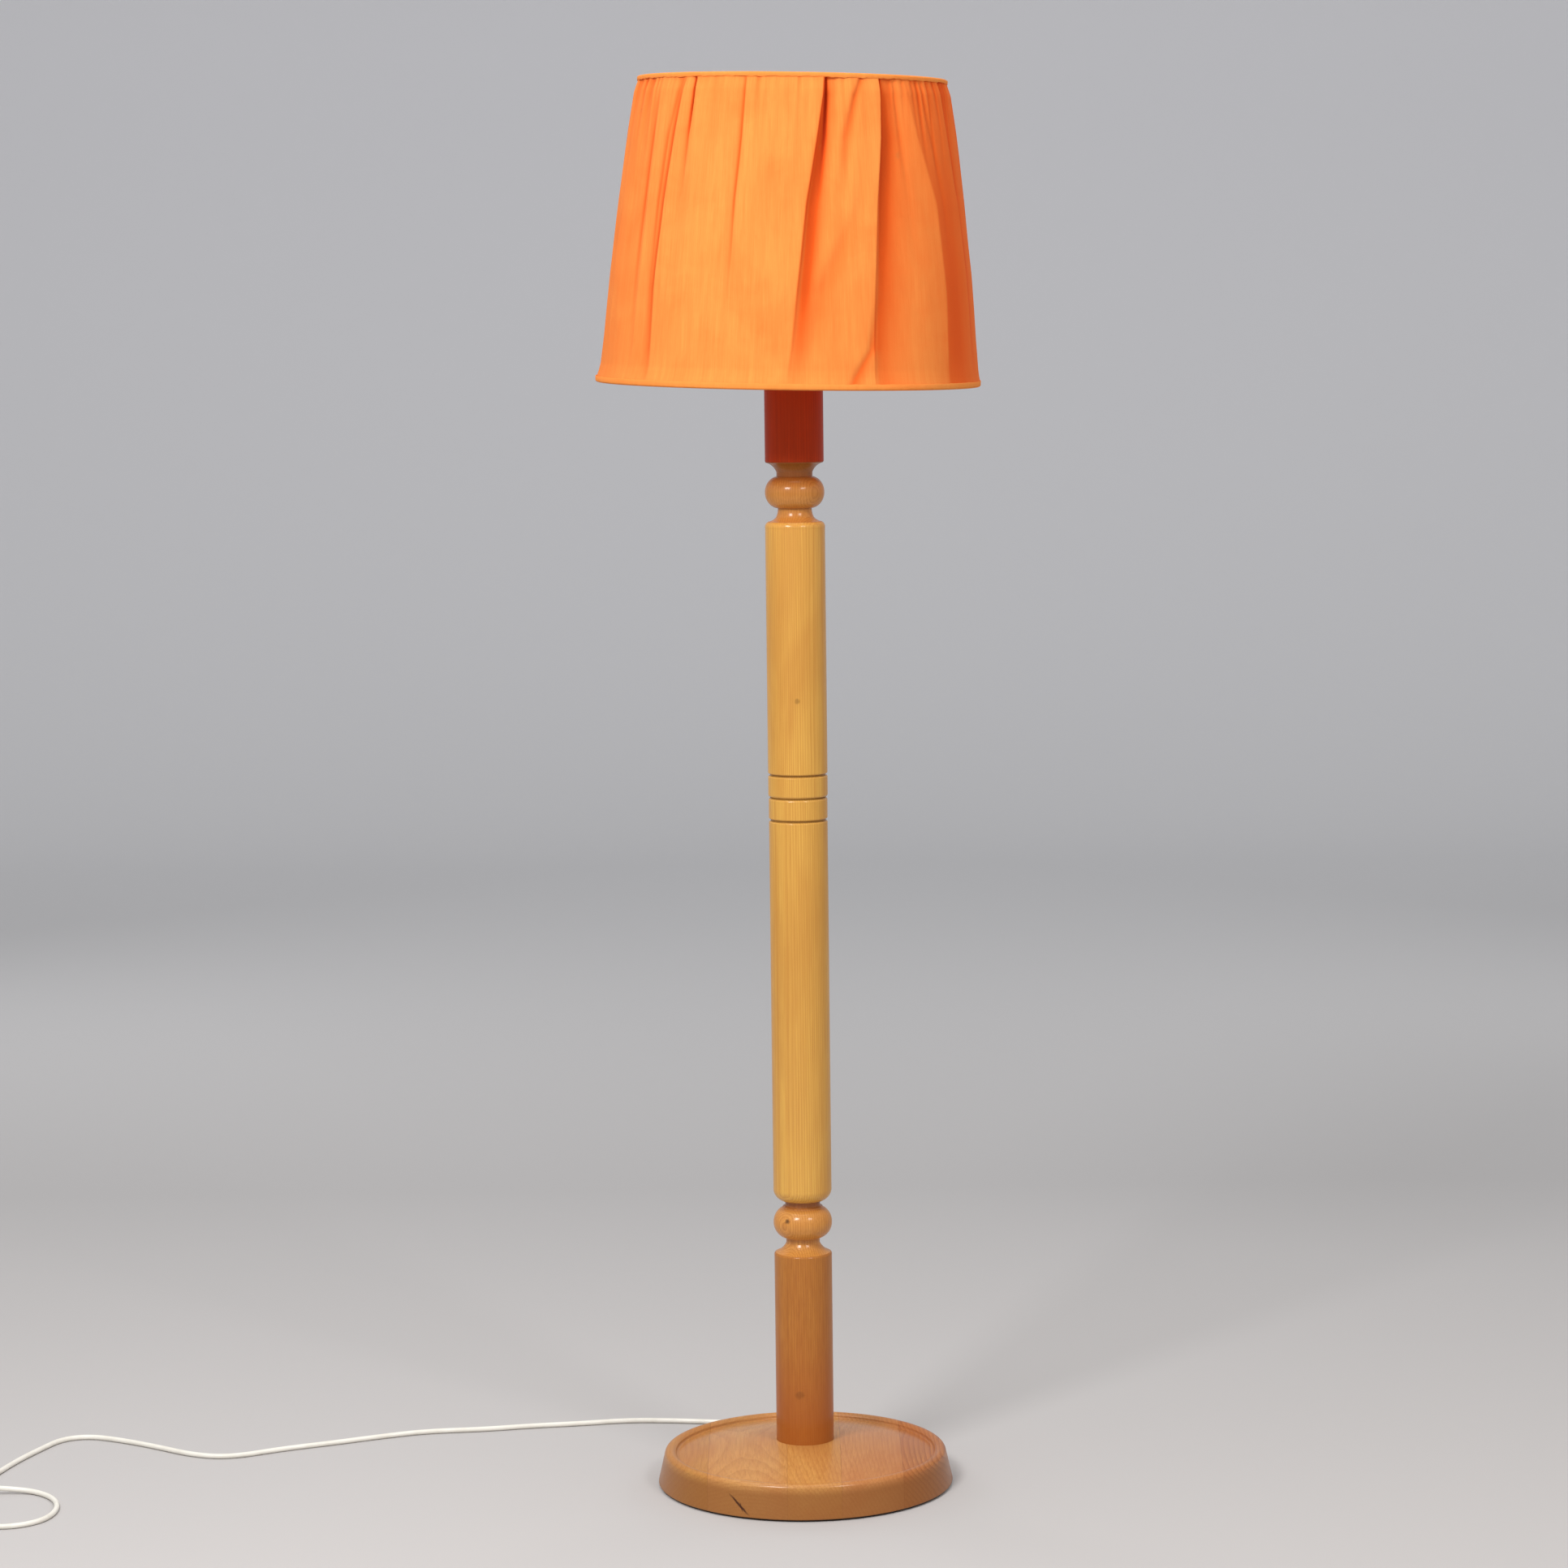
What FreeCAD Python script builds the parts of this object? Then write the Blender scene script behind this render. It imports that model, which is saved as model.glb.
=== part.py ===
"""Candlestick floor lamp: turned pine base and column, gathered cloth shade, white mains lead.

Millimetres, +Z up. The origin is the centre of the felt's underside, on the floor.
Each function returns the solids of one sub-part; the table at the end names them.
"""
import FreeCAD, Part
import math
import os

Vector = FreeCAD.Vector
UP = Vector(0, 0, 1)

# ---- base ------------------------------------------------------------------
felt_thickness = 2.0
felt_margin = 3.5            # the felt stops this far inside the wooden rim
base_radius = 152.5          # wooden rim at the floor
base_edge_round = 1.2
base_taper = 7.0             # how far the side leans in from floor to lip
base_lip_height = 34.4       # wood: underside to the top of the lip
base_lip_width = 11.0
base_lip_step = 5.2          # lip top down to the dished floor beside it
base_centre_height = 43.4    # wood: underside to the top of the dome at the column
base_dome_rise = 1.6         # how far the domed floor bows above a straight cone
foot_recess_depth = 3.0      # the column stands this deep in the dome
recess_radius = 118.0        # hollow in the underside, for the weight
recess_depth = 14.0
nut_pocket_radius = 24.0
nut_pocket_depth = 33.0      # from the wood's underside up to the washer

weight_radius = 112.0
weight_bore_radius = 43.0
weight_thickness = 12.0
weight_slot_width = 9.0      # lets the lead through
weight_screw_count = 3
weight_screw_circle = 78.0
weight_screw_radius = 2.5
weight_screw_head_radius = 4.8
weight_screw_head_height = 2.6
weight_screw_length = 22.0

# ---- column ----------------------------------------------------------------
bottom_section_radius = 29.7
bottom_section_height = 196.9   # shown above the base
lower_bead_height = 55.4        # the piece with the lower bead, between two faces
lower_shaft_radius = 30.0
lower_shaft_length = 417.2
upper_shaft_radius = 30.4
upper_shaft_length = 280.1
upper_bead_height = 60.7
top_section_radius = 29.8
top_section_length = 150.0
bead_radius = 30.2
bead_half_height = 16.3
bead_core_radius = 15.8         # centre of the bead's oval section, from the axis
lower_neck_radius = 17.3        # under each bead
lower_bead_centre = 31.8        # from the piece's lower face
lower_bead_cove_height = 10.4
lower_bead_cove_sag = 1.6
lower_bead_collar_radius = 20.6
lower_bead_collar_height = 1.6
lower_bead_top_neck_radius = 18.0
upper_bead_centre = 30.2
upper_bead_cove_height = 5.0
upper_bead_cove_sag = 0.9
upper_bead_waist_radius = 19.2
upper_bead_top_neck_radius = 18.3
upper_bead_top_cove_height = 9.8
upper_bead_top_cove_sag = 1.9
cove_land = 0.5                 # thin square edge where a cove ends
section_edge_round = 2.2
bead_face_inset = 1.4           # a bead piece's end face is this much narrower
shaft_shoulder_height = 13.0    # rounded lower end of the lower shaft
shaft_shoulder_inset = 7.0
upper_shoulder_height = 6.2     # rounded upper end of the upper shaft
top_section_edge_round = 1.0
band_height = 23.2              # turned band on each side of the middle joint
groove_half_width = 2.3
groove_depth = 2.5
groove_floor = 1.0
joint_edge_round = 2.7
tenon_radius = 10.0
tenon_length = 12.0
joint_tenon_radius = 14.0
joint_tenon_length = 18.0
tenon_clearance = 0.1
tenon_end_gap = 0.6
column_bore_radius = 5.3

# ---- threaded tube and its fastenings ---------------------------------------
tube_radius = 5.0
tube_inner_radius = 4.0
tube_stick_out_bottom = 2.0
base_washer_radius = 16.0
washer_thickness = 2.0
top_washer_radius = 15.0
nut_across_flats = 17.0
nut_height = 6.0
thread_clearance = 0.05

# ---- lampholder ------------------------------------------------------------
holder_gap = 0.3
cap_boss_radius = 8.0
cap_boss_height = 5.0
cap_radius = 20.0
cap_height = 26.0
cap_shoulder_height = 4.0
cap_wall = 1.6
holder_body_radius = 19.6
holder_body_wall = 1.8
holder_body_height = 33.0
holder_flange_radius = 24.0
holder_flange_height = 5.0
holder_flange_thickness = 2.0
insert_radius = 17.4
insert_below = 6.0           # porcelain below the body's lower edge
insert_above = 9.0
insert_recess_radius = 8.0
insert_recess_depth = 4.0
shell_inner_radius = 13.6
shell_wall = 0.5
shell_height = 23.0
shell_foot_width = 3.0
contact_width = 7.0
contact_length = 14.0
contact_thickness = 0.8
terminal_spacing = 22.0
terminal_screw_radius = 1.6
terminal_screw_length = 5.0
terminal_head_radius = 2.9
terminal_head_height = 1.8
ring_nut_radius = 23.6
ring_nut_height = 7.0
ring_nut_clearance = 0.1
ring_nut_flutes = 12
ring_nut_flute_radius = 1.6

switch_height = 15.0         # above the holder cap's lower edge
switch_bush_radius = 4.2
switch_bush_flange_radius = 6.2
switch_bush_flange = 1.2
switch_bush_inner = 3.0
switch_shaft_radius = 2.0
switch_clearance = 0.1
switch_key_gap = 0.4
switch_key_hub_radius = 4.5
switch_key_hub_length = 4.0
switch_key_wing_length = 9.0
switch_key_wing_width = 17.0
switch_key_wing_thickness = 3.2

# ---- bulb ------------------------------------------------------------------
bulb_cap_radius = 13.3
bulb_cap_height = 22.0
bulb_cap_wall = 0.5
bulb_tip_radius = 5.0
bulb_tip_height = 2.0
bulb_contact_gap = 0.2
bulb_base_taper = 4.0
bulb_glass_radius = 30.0
bulb_length = 106.0
bulb_neck_radius = 12.6
bulb_glass_wall = 0.9

# ---- shade -----------------------------------------------------------------
shade_turn_gap = 0.3
fitter_clearance = 0.7
fitter_outer_radius = 27.5
fitter_thickness = 1.6
shade_top_z = 1438.8
shade_bottom_z = 1134.2
shade_top_radius = 155.3     # outside of the binding
shade_bottom_radius = 194.5
shade_tilt_side = 1.45       # degrees: the shade sits crooked, as photographed
shade_tilt_front = 1.48
shade_shift = -2.6
ring_wire_radius = 1.7
rib_wire_radius = 1.3
rib_count = 6
rib_first_angle = 51.0
rib_inset = 1.5              # the ribs stand this far inside the middle of the ring wires
arm_count = 3
arm_wire_radius = 1.6
arm_first_angle = 90.0
arm_knee_rise = 9.0
arm_drop = 1.2               # the arms meet the top ring this far below its middle
cloth_thickness = 0.8
binding_thickness = 0.7
top_binding_height = 4.6
hem_binding_height = 6.2
binding_inner_lap = 3.4      # height of the bindings inside the shade
layer_gap = 0.15
wire_gap = 0.2

# folds: (angle at the top, angle at the hem, depth), degrees from the front towards the right
shade_folds = [
    (-58, -60, 4.5), (-37, -44, 7.5), (-20, -25, 3.0), (11, 1, 10.0), (32, 25, 7.5),
    (67, 70, 9.0), (92, 95, 5.0), (126, 124, 8.0), (150, 153, 4.0), (192, 190, 9.0),
    (213, 211, 5.0), (249, 250, 8.5), (272, 271, 4.0),
]
# sections: (share of the height from hem to top, bulge from a straight side, share of fold depth)
shade_sections = [
    (0.000, 0.0, 0.00), (0.012, 0.5, 0.00), (0.050, -0.6, 0.10), (0.150, -0.3, 0.25),
    (0.370, 2.2, 0.45), (0.600, 3.0, 0.72), (0.820, 2.6, 1.00), (0.950, 1.7, 0.85),
    (0.986, -0.6, 0.00), (1.000, 0.0, 0.00),
]

# ---- lead ------------------------------------------------------------------
cord_radius = 2.7
floor_gap = 0.05
cord_exit_angle = 100.0      # degrees from +X, on the far side of the base
cord_exit_height = 12.0
grommet_barrel_radius = 4.4
grommet_barrel_length = 12.0
grommet_flange_radius = 6.8
grommet_flange_thickness = 1.6
relief_length = 22.0
relief_start_radius = 4.6
relief_end_radius = 3.5
grommet_cord_clearance = 0.1
grommet_hole_clearance = 0.1
spot_face_clearance = 0.6
inner_bend_radius = 11.5
clamp_length = 9.0
clamp_width = 26.0
clamp_distance = 33.0        # from the axis
clamp_below = 2.6            # block under the lead
clamp_screw_radius = 1.6
clamp_screw_spacing = 17.0
clamp_screw_head_radius = 3.0
clamp_screw_head_height = 1.8
clamp_screw_length = 16.0
screw_hole_clearance = 0.1

# where the free lead lies: x, y, height of its centre; the first point is the strain relief's end
cord_level = cord_radius + floor_gap
crossing_level = cord_level + 2 * cord_radius + 1.0
cord_route = [
    (-33.7, 191, cord_exit_height), (-43, 209, 6.5), (-64, 221, cord_level),
    (-104, 229, cord_level), (-148, 236, cord_level), (-193, 239, cord_level),
    (-243, 228, cord_level), (-300, 220, cord_level), (-350, 208, cord_level),
    (-410, 203, cord_level), (-456, 185, cord_level), (-510, 159, cord_level),
    (-560, 138, cord_level), (-612, 107, cord_level), (-653, 117, cord_level),
    (-700, 154, cord_level), (-741, 181, cord_level), (-777, 198, cord_level),
    (-806, 187, cord_level), (-821, 150, cord_level), (-838, 104, cord_level),
    (-852, 50, cord_level), (-862, -4, cord_level), (-868, -57, cord_level),
    (-862, -105, cord_level), (-838, -138, cord_level), (-802, -146, cord_level),
    (-771, -126, cord_level), (-762, -87, cord_level), (-771, -46, cord_level),
    (-796, -17, cord_level), (-826, -14, 5.4), (-856, -22, crossing_level),
    (-884, -34, crossing_level), (-912, -42, cord_level),
]

coil_centre = (-944.0, -78.0)
coil_outer_radius = 36.0
coil_turns_per_layer = 2
coil_pitch = 2 * cord_radius + 0.7
coil_neighbour_run = 40.0      # points nearer along the coil than this are on one turn
coil_climb_turns = 0.5
coil_start_angle = 90.0
coil_last_turns = 1.75

plug_tail_length = 20.0
plug_tail_radius = 4.6
plug_width = 35.0
plug_thickness = 13.6
plug_body_length = 31.0
plug_nose_width = 26.0
plug_edge_round = 1.6
plug_pin_radius = 2.0
plug_pin_length = 19.0
plug_pin_spacing = 18.6
plug_distance = 44.0         # straight lead between the coil and the plug's tail


# ---- heights and places that follow from the sizes ---------------------------
wood_z = felt_thickness
lip_z = wood_z + base_lip_height
dome_z = wood_z + base_centre_height
recess_z = wood_z + recess_depth
pocket_z = wood_z + nut_pocket_depth
foot_z = dome_z - foot_recess_depth
bottom_top_z = dome_z + bottom_section_height
lower_bead_top_z = bottom_top_z + lower_bead_height
joint_z = lower_bead_top_z + lower_shaft_length
upper_bead_z = joint_z + upper_shaft_length
top_section_z = upper_bead_z + upper_bead_height
column_top_z = top_section_z + top_section_length
base_nut_z = pocket_z - washer_thickness - nut_height
tube_bottom_z = base_nut_z - tube_stick_out_bottom
top_nut_z = column_top_z + washer_thickness
cap_z = top_nut_z + nut_height + holder_gap
tube_top_z = cap_z + cap_boss_height + 2.0
body_z = cap_z + cap_height
insert_top_z = body_z + insert_above
flange_top_z = body_z + holder_flange_height
fitter_z = flange_top_z + shade_turn_gap
ring_nut_z = fitter_z + fitter_thickness + shade_turn_gap
bulb_z = insert_top_z + contact_thickness + bulb_contact_gap
bulb_cap_z = bulb_z + bulb_tip_height
lip_outer_radius = base_radius - base_taper
lip_inner_radius = lip_outer_radius - base_lip_width
top_ring_radius = (shade_top_radius - binding_thickness - layer_gap - cloth_thickness
                   - wire_gap - ring_wire_radius)
bottom_ring_radius = (shade_bottom_radius - binding_thickness - layer_gap - cloth_thickness
                      - wire_gap - ring_wire_radius)
top_ring_z = shade_top_z - binding_thickness - layer_gap - ring_wire_radius
bottom_ring_z = shade_bottom_z + binding_thickness + layer_gap + ring_wire_radius
exit_direction = Vector(math.cos(math.radians(cord_exit_angle)),
                        math.sin(math.radians(cord_exit_angle)), 0)
exit_side = UP.cross(exit_direction)
wall_radius_at_exit = (base_radius - base_taper * (cord_exit_height - wood_z) / base_lip_height)
seat_radius = wall_radius_at_exit - 1.2
relief_end = seat_radius + grommet_flange_thickness + relief_length


# ---- helpers -----------------------------------------------------------------
class Outline:
    """Half section of a turned piece in the XZ plane, drawn as (radius, height) points."""

    def __init__(self, radius, height):
        self.here = Vector(radius, 0, height)
        self.start = self.here
        self.edges = []

    def line(self, radius, height):
        there = Vector(radius, 0, height)
        if there.distanceToPoint(self.here) > 1e-6:
            self.edges.append(Part.LineSegment(self.here, there).toShape())
        self.here = there
        return self

    def arc(self, radius, height, sag):
        """Arc to a point; a positive sag bows to the right of the direction of travel."""
        there = Vector(radius, 0, height)
        chord = there - self.here
        right = Vector(chord.z, 0, -chord.x).normalize()
        middle = self.here + chord * 0.5 + right * sag
        self.edges.append(Part.Arc(self.here, middle, there).toShape())
        self.here = there
        return self

    def bead(self, centre_height, radius_end):
        """Oval bead from the present radius, out and back in to radius_end."""
        centre = Vector(bead_core_radius, 0, centre_height)
        low = centre - Vector(0, 0, bead_half_height)
        side = Vector(bead_radius, 0, centre_height)
        oval = Part.Ellipse(low, side, centre)
        reach = bead_radius - bead_core_radius
        first = math.asin((self.here.x - bead_core_radius) / reach)
        last = math.pi - math.asin((radius_end - bead_core_radius) / reach)
        curve = Part.ArcOfEllipse(oval, first, last)
        self.line(self.here.x, curve.StartPoint.z)
        self.edges.append(Part.Edge(curve))
        self.here = curve.EndPoint
        return self

    def turned(self):
        self.line(self.start.x, self.start.z)
        face = Part.Face(Part.Wire(self.edges))
        return face.revolve(Vector(0, 0, 0), UP, 360)


def cylinder(radius, height, base=Vector(0, 0, 0), direction=UP):
    return Part.makeCylinder(radius, height, base, direction)


def ring(outer, inner, height, z):
    return cylinder(outer, height, Vector(0, 0, z)).cut(cylinder(inner, height, Vector(0, 0, z)))


def hexagon(across_flats, height, z):
    corner = across_flats / 2 / math.cos(math.pi / 6)
    points = [Vector(corner * math.cos(k * math.pi / 3), corner * math.sin(k * math.pi / 3), z)
              for k in range(7)]
    return Part.Face(Part.makePolygon(points)).extrude(Vector(0, 0, height))


def around(count, first_angle):
    return [first_angle + 360.0 * k / count for k in range(count)]


def polar(radius, angle, z):
    return Vector(radius * math.cos(math.radians(angle)), radius * math.sin(math.radians(angle)), z)


def from_front(angle):
    """Angle from +X of a place given in degrees from the front (-Y) towards the right (+X)."""
    return angle - 90.0


def bored(solid, low, high):
    """Cut the column's through bore."""
    return solid.cut(cylinder(column_bore_radius, high - low + 2, Vector(0, 0, low - 1)))


def socket(z, direction, radius, length):
    """Hole for a tenon: it opens at height z and runs into the wood along direction."""
    depth = length + tenon_end_gap
    return cylinder(radius + tenon_clearance, depth, Vector(0, 0, z), direction)


# ---- base --------------------------------------------------------------------
def base_disc():
    floor_z = lip_z - base_lip_step
    floor_radius = lip_inner_radius - base_lip_step * 0.25
    dome_edge = bottom_section_radius + 1.5
    crest_radius = (lip_outer_radius + lip_inner_radius) / 2
    side_z = lip_z - base_lip_width * 0.42
    outline = (
        Outline(0, wood_z)
        .line(base_radius - base_edge_round, wood_z)
        .arc(base_radius, wood_z + base_edge_round, base_edge_round * 0.29)
        .line(lip_outer_radius + 0.4, side_z)
        .arc(crest_radius, lip_z, 1.5)
        .arc(lip_inner_radius, lip_z - base_lip_width * 0.2, 0.6)
        .line(floor_radius + 0.8, floor_z + 1.6)
        .arc(floor_radius - 2.0, floor_z, -0.7)
        .arc(dome_edge, dome_z, base_dome_rise)
        .line(0, dome_z)
    )
    disc = outline.turned()
    disc = disc.cut(cylinder(recess_radius, recess_depth, Vector(0, 0, wood_z)))
    disc = disc.cut(cylinder(nut_pocket_radius, nut_pocket_depth, Vector(0, 0, wood_z)))
    foot = bottom_section_radius + tenon_clearance
    disc = disc.cut(cylinder(foot, foot_recess_depth + 1, Vector(0, 0, foot_z)))
    disc = bored(disc, wood_z, dome_z)
    channel_start = exit_direction * (recess_radius - 4) + UP * cord_exit_height
    channel = cylinder(grommet_barrel_radius + grommet_hole_clearance, base_radius,
                       channel_start, exit_direction)
    spot_start = exit_direction * seat_radius + UP * cord_exit_height
    spot = cylinder(grommet_flange_radius + spot_face_clearance, base_radius, spot_start,
                    exit_direction)
    disc = disc.cut(channel).cut(spot)
    for hole in weight_screw_places():
        pilot = cylinder(weight_screw_radius + screw_hole_clearance,
                         weight_screw_length - weight_thickness + 1, hole + UP * recess_z)
        disc = disc.cut(pilot)
    for hole in clamp_screw_places():
        pilot = cylinder(clamp_screw_radius + screw_hole_clearance,
                         clamp_screw_length + 1, hole + UP * (clamp_bottom_z()))
        disc = disc.cut(pilot)
    return [disc]


def base_felt():
    return [cylinder(base_radius - felt_margin, felt_thickness)]


def weight_screw_places():
    angles = around(weight_screw_count, cord_exit_angle + 180.0 / weight_screw_count)
    return [polar(weight_screw_circle, angle, 0) for angle in angles]


def base_weight():
    low = recess_z - weight_thickness
    weight = ring(weight_radius, weight_bore_radius, weight_thickness, low)
    slot = Part.makeBox(weight_radius, weight_slot_width, weight_thickness,
                        Vector(weight_bore_radius - 3, -weight_slot_width / 2, low))
    slot.rotate(Vector(0, 0, 0), UP, cord_exit_angle)
    weight = weight.cut(slot)
    for place in weight_screw_places():
        base = place + UP * low
        weight = weight.cut(cylinder(weight_screw_radius + screw_hole_clearance,
                                     weight_thickness, base))
        head = cylinder(weight_screw_head_radius + screw_hole_clearance,
                        weight_screw_head_height, base)
        weight = weight.cut(head)
    return [weight]


def slotted_screw(place, low, radius, length, head_radius, head_height):
    """A screw standing on its head, driven upwards."""
    head = cylinder(head_radius, head_height, place + UP * low)
    slot = Part.makeBox(head_radius * 2.2, head_radius * 0.35, head_height * 0.5,
                        place + Vector(-head_radius * 1.1, -head_radius * 0.175, low))
    shank = cylinder(radius, length, place + UP * low)
    return head.cut(slot).fuse(shank.cut(slot)).removeSplitter()


def weight_screws():
    low = recess_z - weight_thickness
    return [slotted_screw(place, low, weight_screw_radius, weight_screw_length,
                          weight_screw_head_radius, weight_screw_head_height)
            for place in weight_screw_places()]


# ---- column ------------------------------------------------------------------
def bottom_section():
    radius = bottom_section_radius
    edge = section_edge_round
    top = bottom_top_z
    solid = (
        Outline(0, foot_z)
        .line(radius, foot_z)
        .line(radius, top - edge)
        .arc(radius - bead_face_inset * 0.5, top, edge * 0.12)
        .line(0, top)
        .turned()
    )
    solid = bored(solid, foot_z, top)
    return [solid.cut(socket(top, -UP, tenon_radius, tenon_length))]


def lower_bead():
    low = bottom_top_z
    high = lower_bead_top_z
    foot_radius = bottom_section_radius - bead_face_inset
    collar_z = low + lower_bead_centre + bead_half_height - 1.4
    solid = (
        Outline(0, low - tenon_length)
        .line(tenon_radius, low - tenon_length)
        .line(tenon_radius, low)
        .line(foot_radius, low)
        .line(foot_radius, low + cove_land)
        .arc(lower_neck_radius, low + lower_bead_cove_height, -lower_bead_cove_sag)
        .bead(low + lower_bead_centre, lower_bead_collar_radius)
        .line(lower_bead_collar_radius, collar_z + lower_bead_collar_height)
        .line(lower_bead_top_neck_radius, collar_z + lower_bead_collar_height + 0.8)
        .line(lower_bead_top_neck_radius, high)
        .line(tenon_radius, high)
        .line(tenon_radius, high + tenon_length)
        .line(0, high + tenon_length)
        .turned()
    )
    return [bored(solid, low - tenon_length, high + tenon_length)]


def groove(outline, radius, z):
    """Turned groove with eased edges, going up."""
    depth = radius - groove_depth
    return (
        outline.line(radius, z - groove_half_width)
        .arc(depth, z - groove_floor / 2, 0.45)
        .line(depth, z + groove_floor / 2)
        .arc(radius, z + groove_half_width, 0.45)
    )


def lower_shaft():
    radius = lower_shaft_radius
    low = lower_bead_top_z
    high = joint_z
    outline = (
        Outline(0, low)
        .line(radius - shaft_shoulder_inset, low)
        .arc(radius, low + shaft_shoulder_height, 2.3)
    )
    groove(outline, radius, high - band_height)
    outline.line(radius, high - joint_edge_round)
    outline.arc(radius - groove_depth, high, 0.5)
    outline.line(joint_tenon_radius, high)
    outline.line(joint_tenon_radius, high + joint_tenon_length)
    outline.line(0, high + joint_tenon_length)
    solid = bored(outline.turned(), low, high + joint_tenon_length)
    return [solid.cut(socket(low, UP, tenon_radius, tenon_length))]


def upper_shaft():
    radius = upper_shaft_radius
    low = joint_z
    high = upper_bead_z
    outline = (
        Outline(0, low)
        .line(radius - groove_depth, low)
        .arc(radius, low + joint_edge_round, 0.5)
    )
    groove(outline, radius, low + band_height)
    outline.line(radius, high - upper_shoulder_height)
    outline.arc(radius - bead_face_inset - 1.0, high, 1.0)
    outline.line(0, high)
    solid = bored(outline.turned(), low, high)
    solid = solid.cut(socket(low, UP, joint_tenon_radius, joint_tenon_length))
    return [solid.cut(socket(high, -UP, tenon_radius, tenon_length))]


def upper_bead():
    low = upper_bead_z
    high = top_section_z
    foot_radius = upper_shaft_radius - bead_face_inset - 1.6
    head_radius = top_section_radius - 0.5
    cove_top = low + upper_bead_cove_height
    solid = (
        Outline(0, low - tenon_length)
        .line(tenon_radius, low - tenon_length)
        .line(tenon_radius, low)
        .line(foot_radius, low)
        .line(foot_radius, low + cove_land)
        .arc(upper_bead_waist_radius, cove_top, -upper_bead_cove_sag)
        .arc(lower_neck_radius, cove_top + 8.0, -0.5)
        .bead(low + upper_bead_centre, upper_bead_top_neck_radius)
        .line(upper_bead_top_neck_radius, high - cove_land - upper_bead_top_cove_height)
        .arc(head_radius, high - cove_land, -upper_bead_top_cove_sag)
        .line(head_radius, high)
        .line(tenon_radius, high)
        .line(tenon_radius, high + tenon_length)
        .line(0, high + tenon_length)
        .turned()
    )
    return [bored(solid, low - tenon_length, high + tenon_length)]


def top_section():
    radius = top_section_radius
    edge = top_section_edge_round
    low = top_section_z
    high = column_top_z
    solid = (
        Outline(0, low)
        .line(radius - edge, low)
        .arc(radius, low + edge, edge * 0.29)
        .line(radius, high - section_edge_round)
        .arc(radius - section_edge_round, high, section_edge_round * 0.29)
        .line(0, high)
        .turned()
    )
    solid = bored(solid, low, high)
    return [solid.cut(socket(low, UP, tenon_radius, tenon_length))]


# ---- threaded tube and its fastenings -------------------------------------------
def threaded_tube():
    return [ring(tube_radius, tube_inner_radius, tube_top_z - tube_bottom_z, tube_bottom_z)]


def washer(radius, z):
    return ring(radius, tube_radius + 2 * thread_clearance, washer_thickness, z)


def hex_nut(z):
    chamfer = nut_across_flats / 2 / math.cos(math.pi / 6)
    body = hexagon(nut_across_flats, nut_height, z)
    turned = (
        Outline(0, z)
        .line(chamfer - 1.0, z)
        .line(chamfer, z + 0.8)
        .line(chamfer, z + nut_height - 0.8)
        .line(chamfer - 1.0, z + nut_height)
        .line(0, z + nut_height)
        .turned()
    )
    hole = cylinder(tube_radius + thread_clearance, nut_height + 2, Vector(0, 0, z - 1))
    return body.common(turned).cut(hole)


def base_washer():
    return [washer(base_washer_radius, pocket_z - washer_thickness)]


def base_nut():
    return [hex_nut(base_nut_z)]


def top_washer():
    return [washer(top_washer_radius, column_top_z)]


def top_nut():
    return [hex_nut(top_nut_z)]


# ---- lampholder --------------------------------------------------------------
def holder_cap():
    wall = cap_wall
    high = body_z
    shoulder = cap_z + cap_boss_height + cap_shoulder_height
    solid = (
        Outline(tube_radius + thread_clearance, cap_z)
        .line(cap_boss_radius, cap_z)
        .line(cap_boss_radius, cap_z + cap_boss_height)
        .arc(cap_radius, shoulder, 2.2)
        .line(cap_radius, high)
        .line(cap_radius - wall, high)
        .line(cap_radius - wall, shoulder)
        .arc(cap_boss_radius, cap_z + cap_boss_height + wall, -2.0)
        .line(tube_radius + thread_clearance, cap_z + cap_boss_height + wall)
        .turned()
    )
    hole = cylinder(switch_bush_radius + switch_clearance, cap_radius + 2,
                    Vector(0, 0, cap_z + switch_height), Vector(1, 0, 0))
    return [solid.cut(hole)]


def holder_body():
    inner = holder_body_radius - holder_body_wall
    flange_low = flange_top_z - holder_flange_thickness
    high = body_z + holder_body_height
    solid = (
        Outline(inner, body_z)
        .line(cap_radius, body_z)
        .line(cap_radius, flange_low - 1.0)
        .line(holder_flange_radius, flange_low)
        .line(holder_flange_radius, flange_top_z)
        .line(holder_body_radius, flange_top_z)
        .line(holder_body_radius, high)
        .line(inner, high)
        .turned()
    )
    return [solid]


def holder_insert():
    low = body_z - insert_below
    solid = ring(insert_radius, tube_inner_radius, insert_below + insert_above, low)
    recess = cylinder(insert_recess_radius, insert_recess_depth, Vector(0, 0, low))
    solid = solid.cut(recess)
    for side in (-1, 1):
        hole = cylinder(terminal_screw_radius + screw_hole_clearance, terminal_screw_length,
                        Vector(0, side * terminal_spacing / 2, low))
        solid = solid.cut(hole)
    return [solid]


def terminal_screws():
    low = body_z - insert_below
    screws = []
    for side in (-1, 1):
        place = Vector(0, side * terminal_spacing / 2, 0)
        screws.append(slotted_screw(place, low - terminal_head_height, terminal_screw_radius,
                                    terminal_screw_length, terminal_head_radius,
                                    terminal_head_height))
    return screws


def screw_shell():
    outer = shell_inner_radius + shell_wall
    return [
        Outline(shell_inner_radius - shell_foot_width, insert_top_z)
        .line(outer, insert_top_z)
        .line(outer, insert_top_z + shell_height)
        .line(shell_inner_radius, insert_top_z + shell_height)
        .line(shell_inner_radius, insert_top_z + shell_wall)
        .line(shell_inner_radius - shell_foot_width, insert_top_z + shell_wall)
        .turned()
    ]


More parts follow.
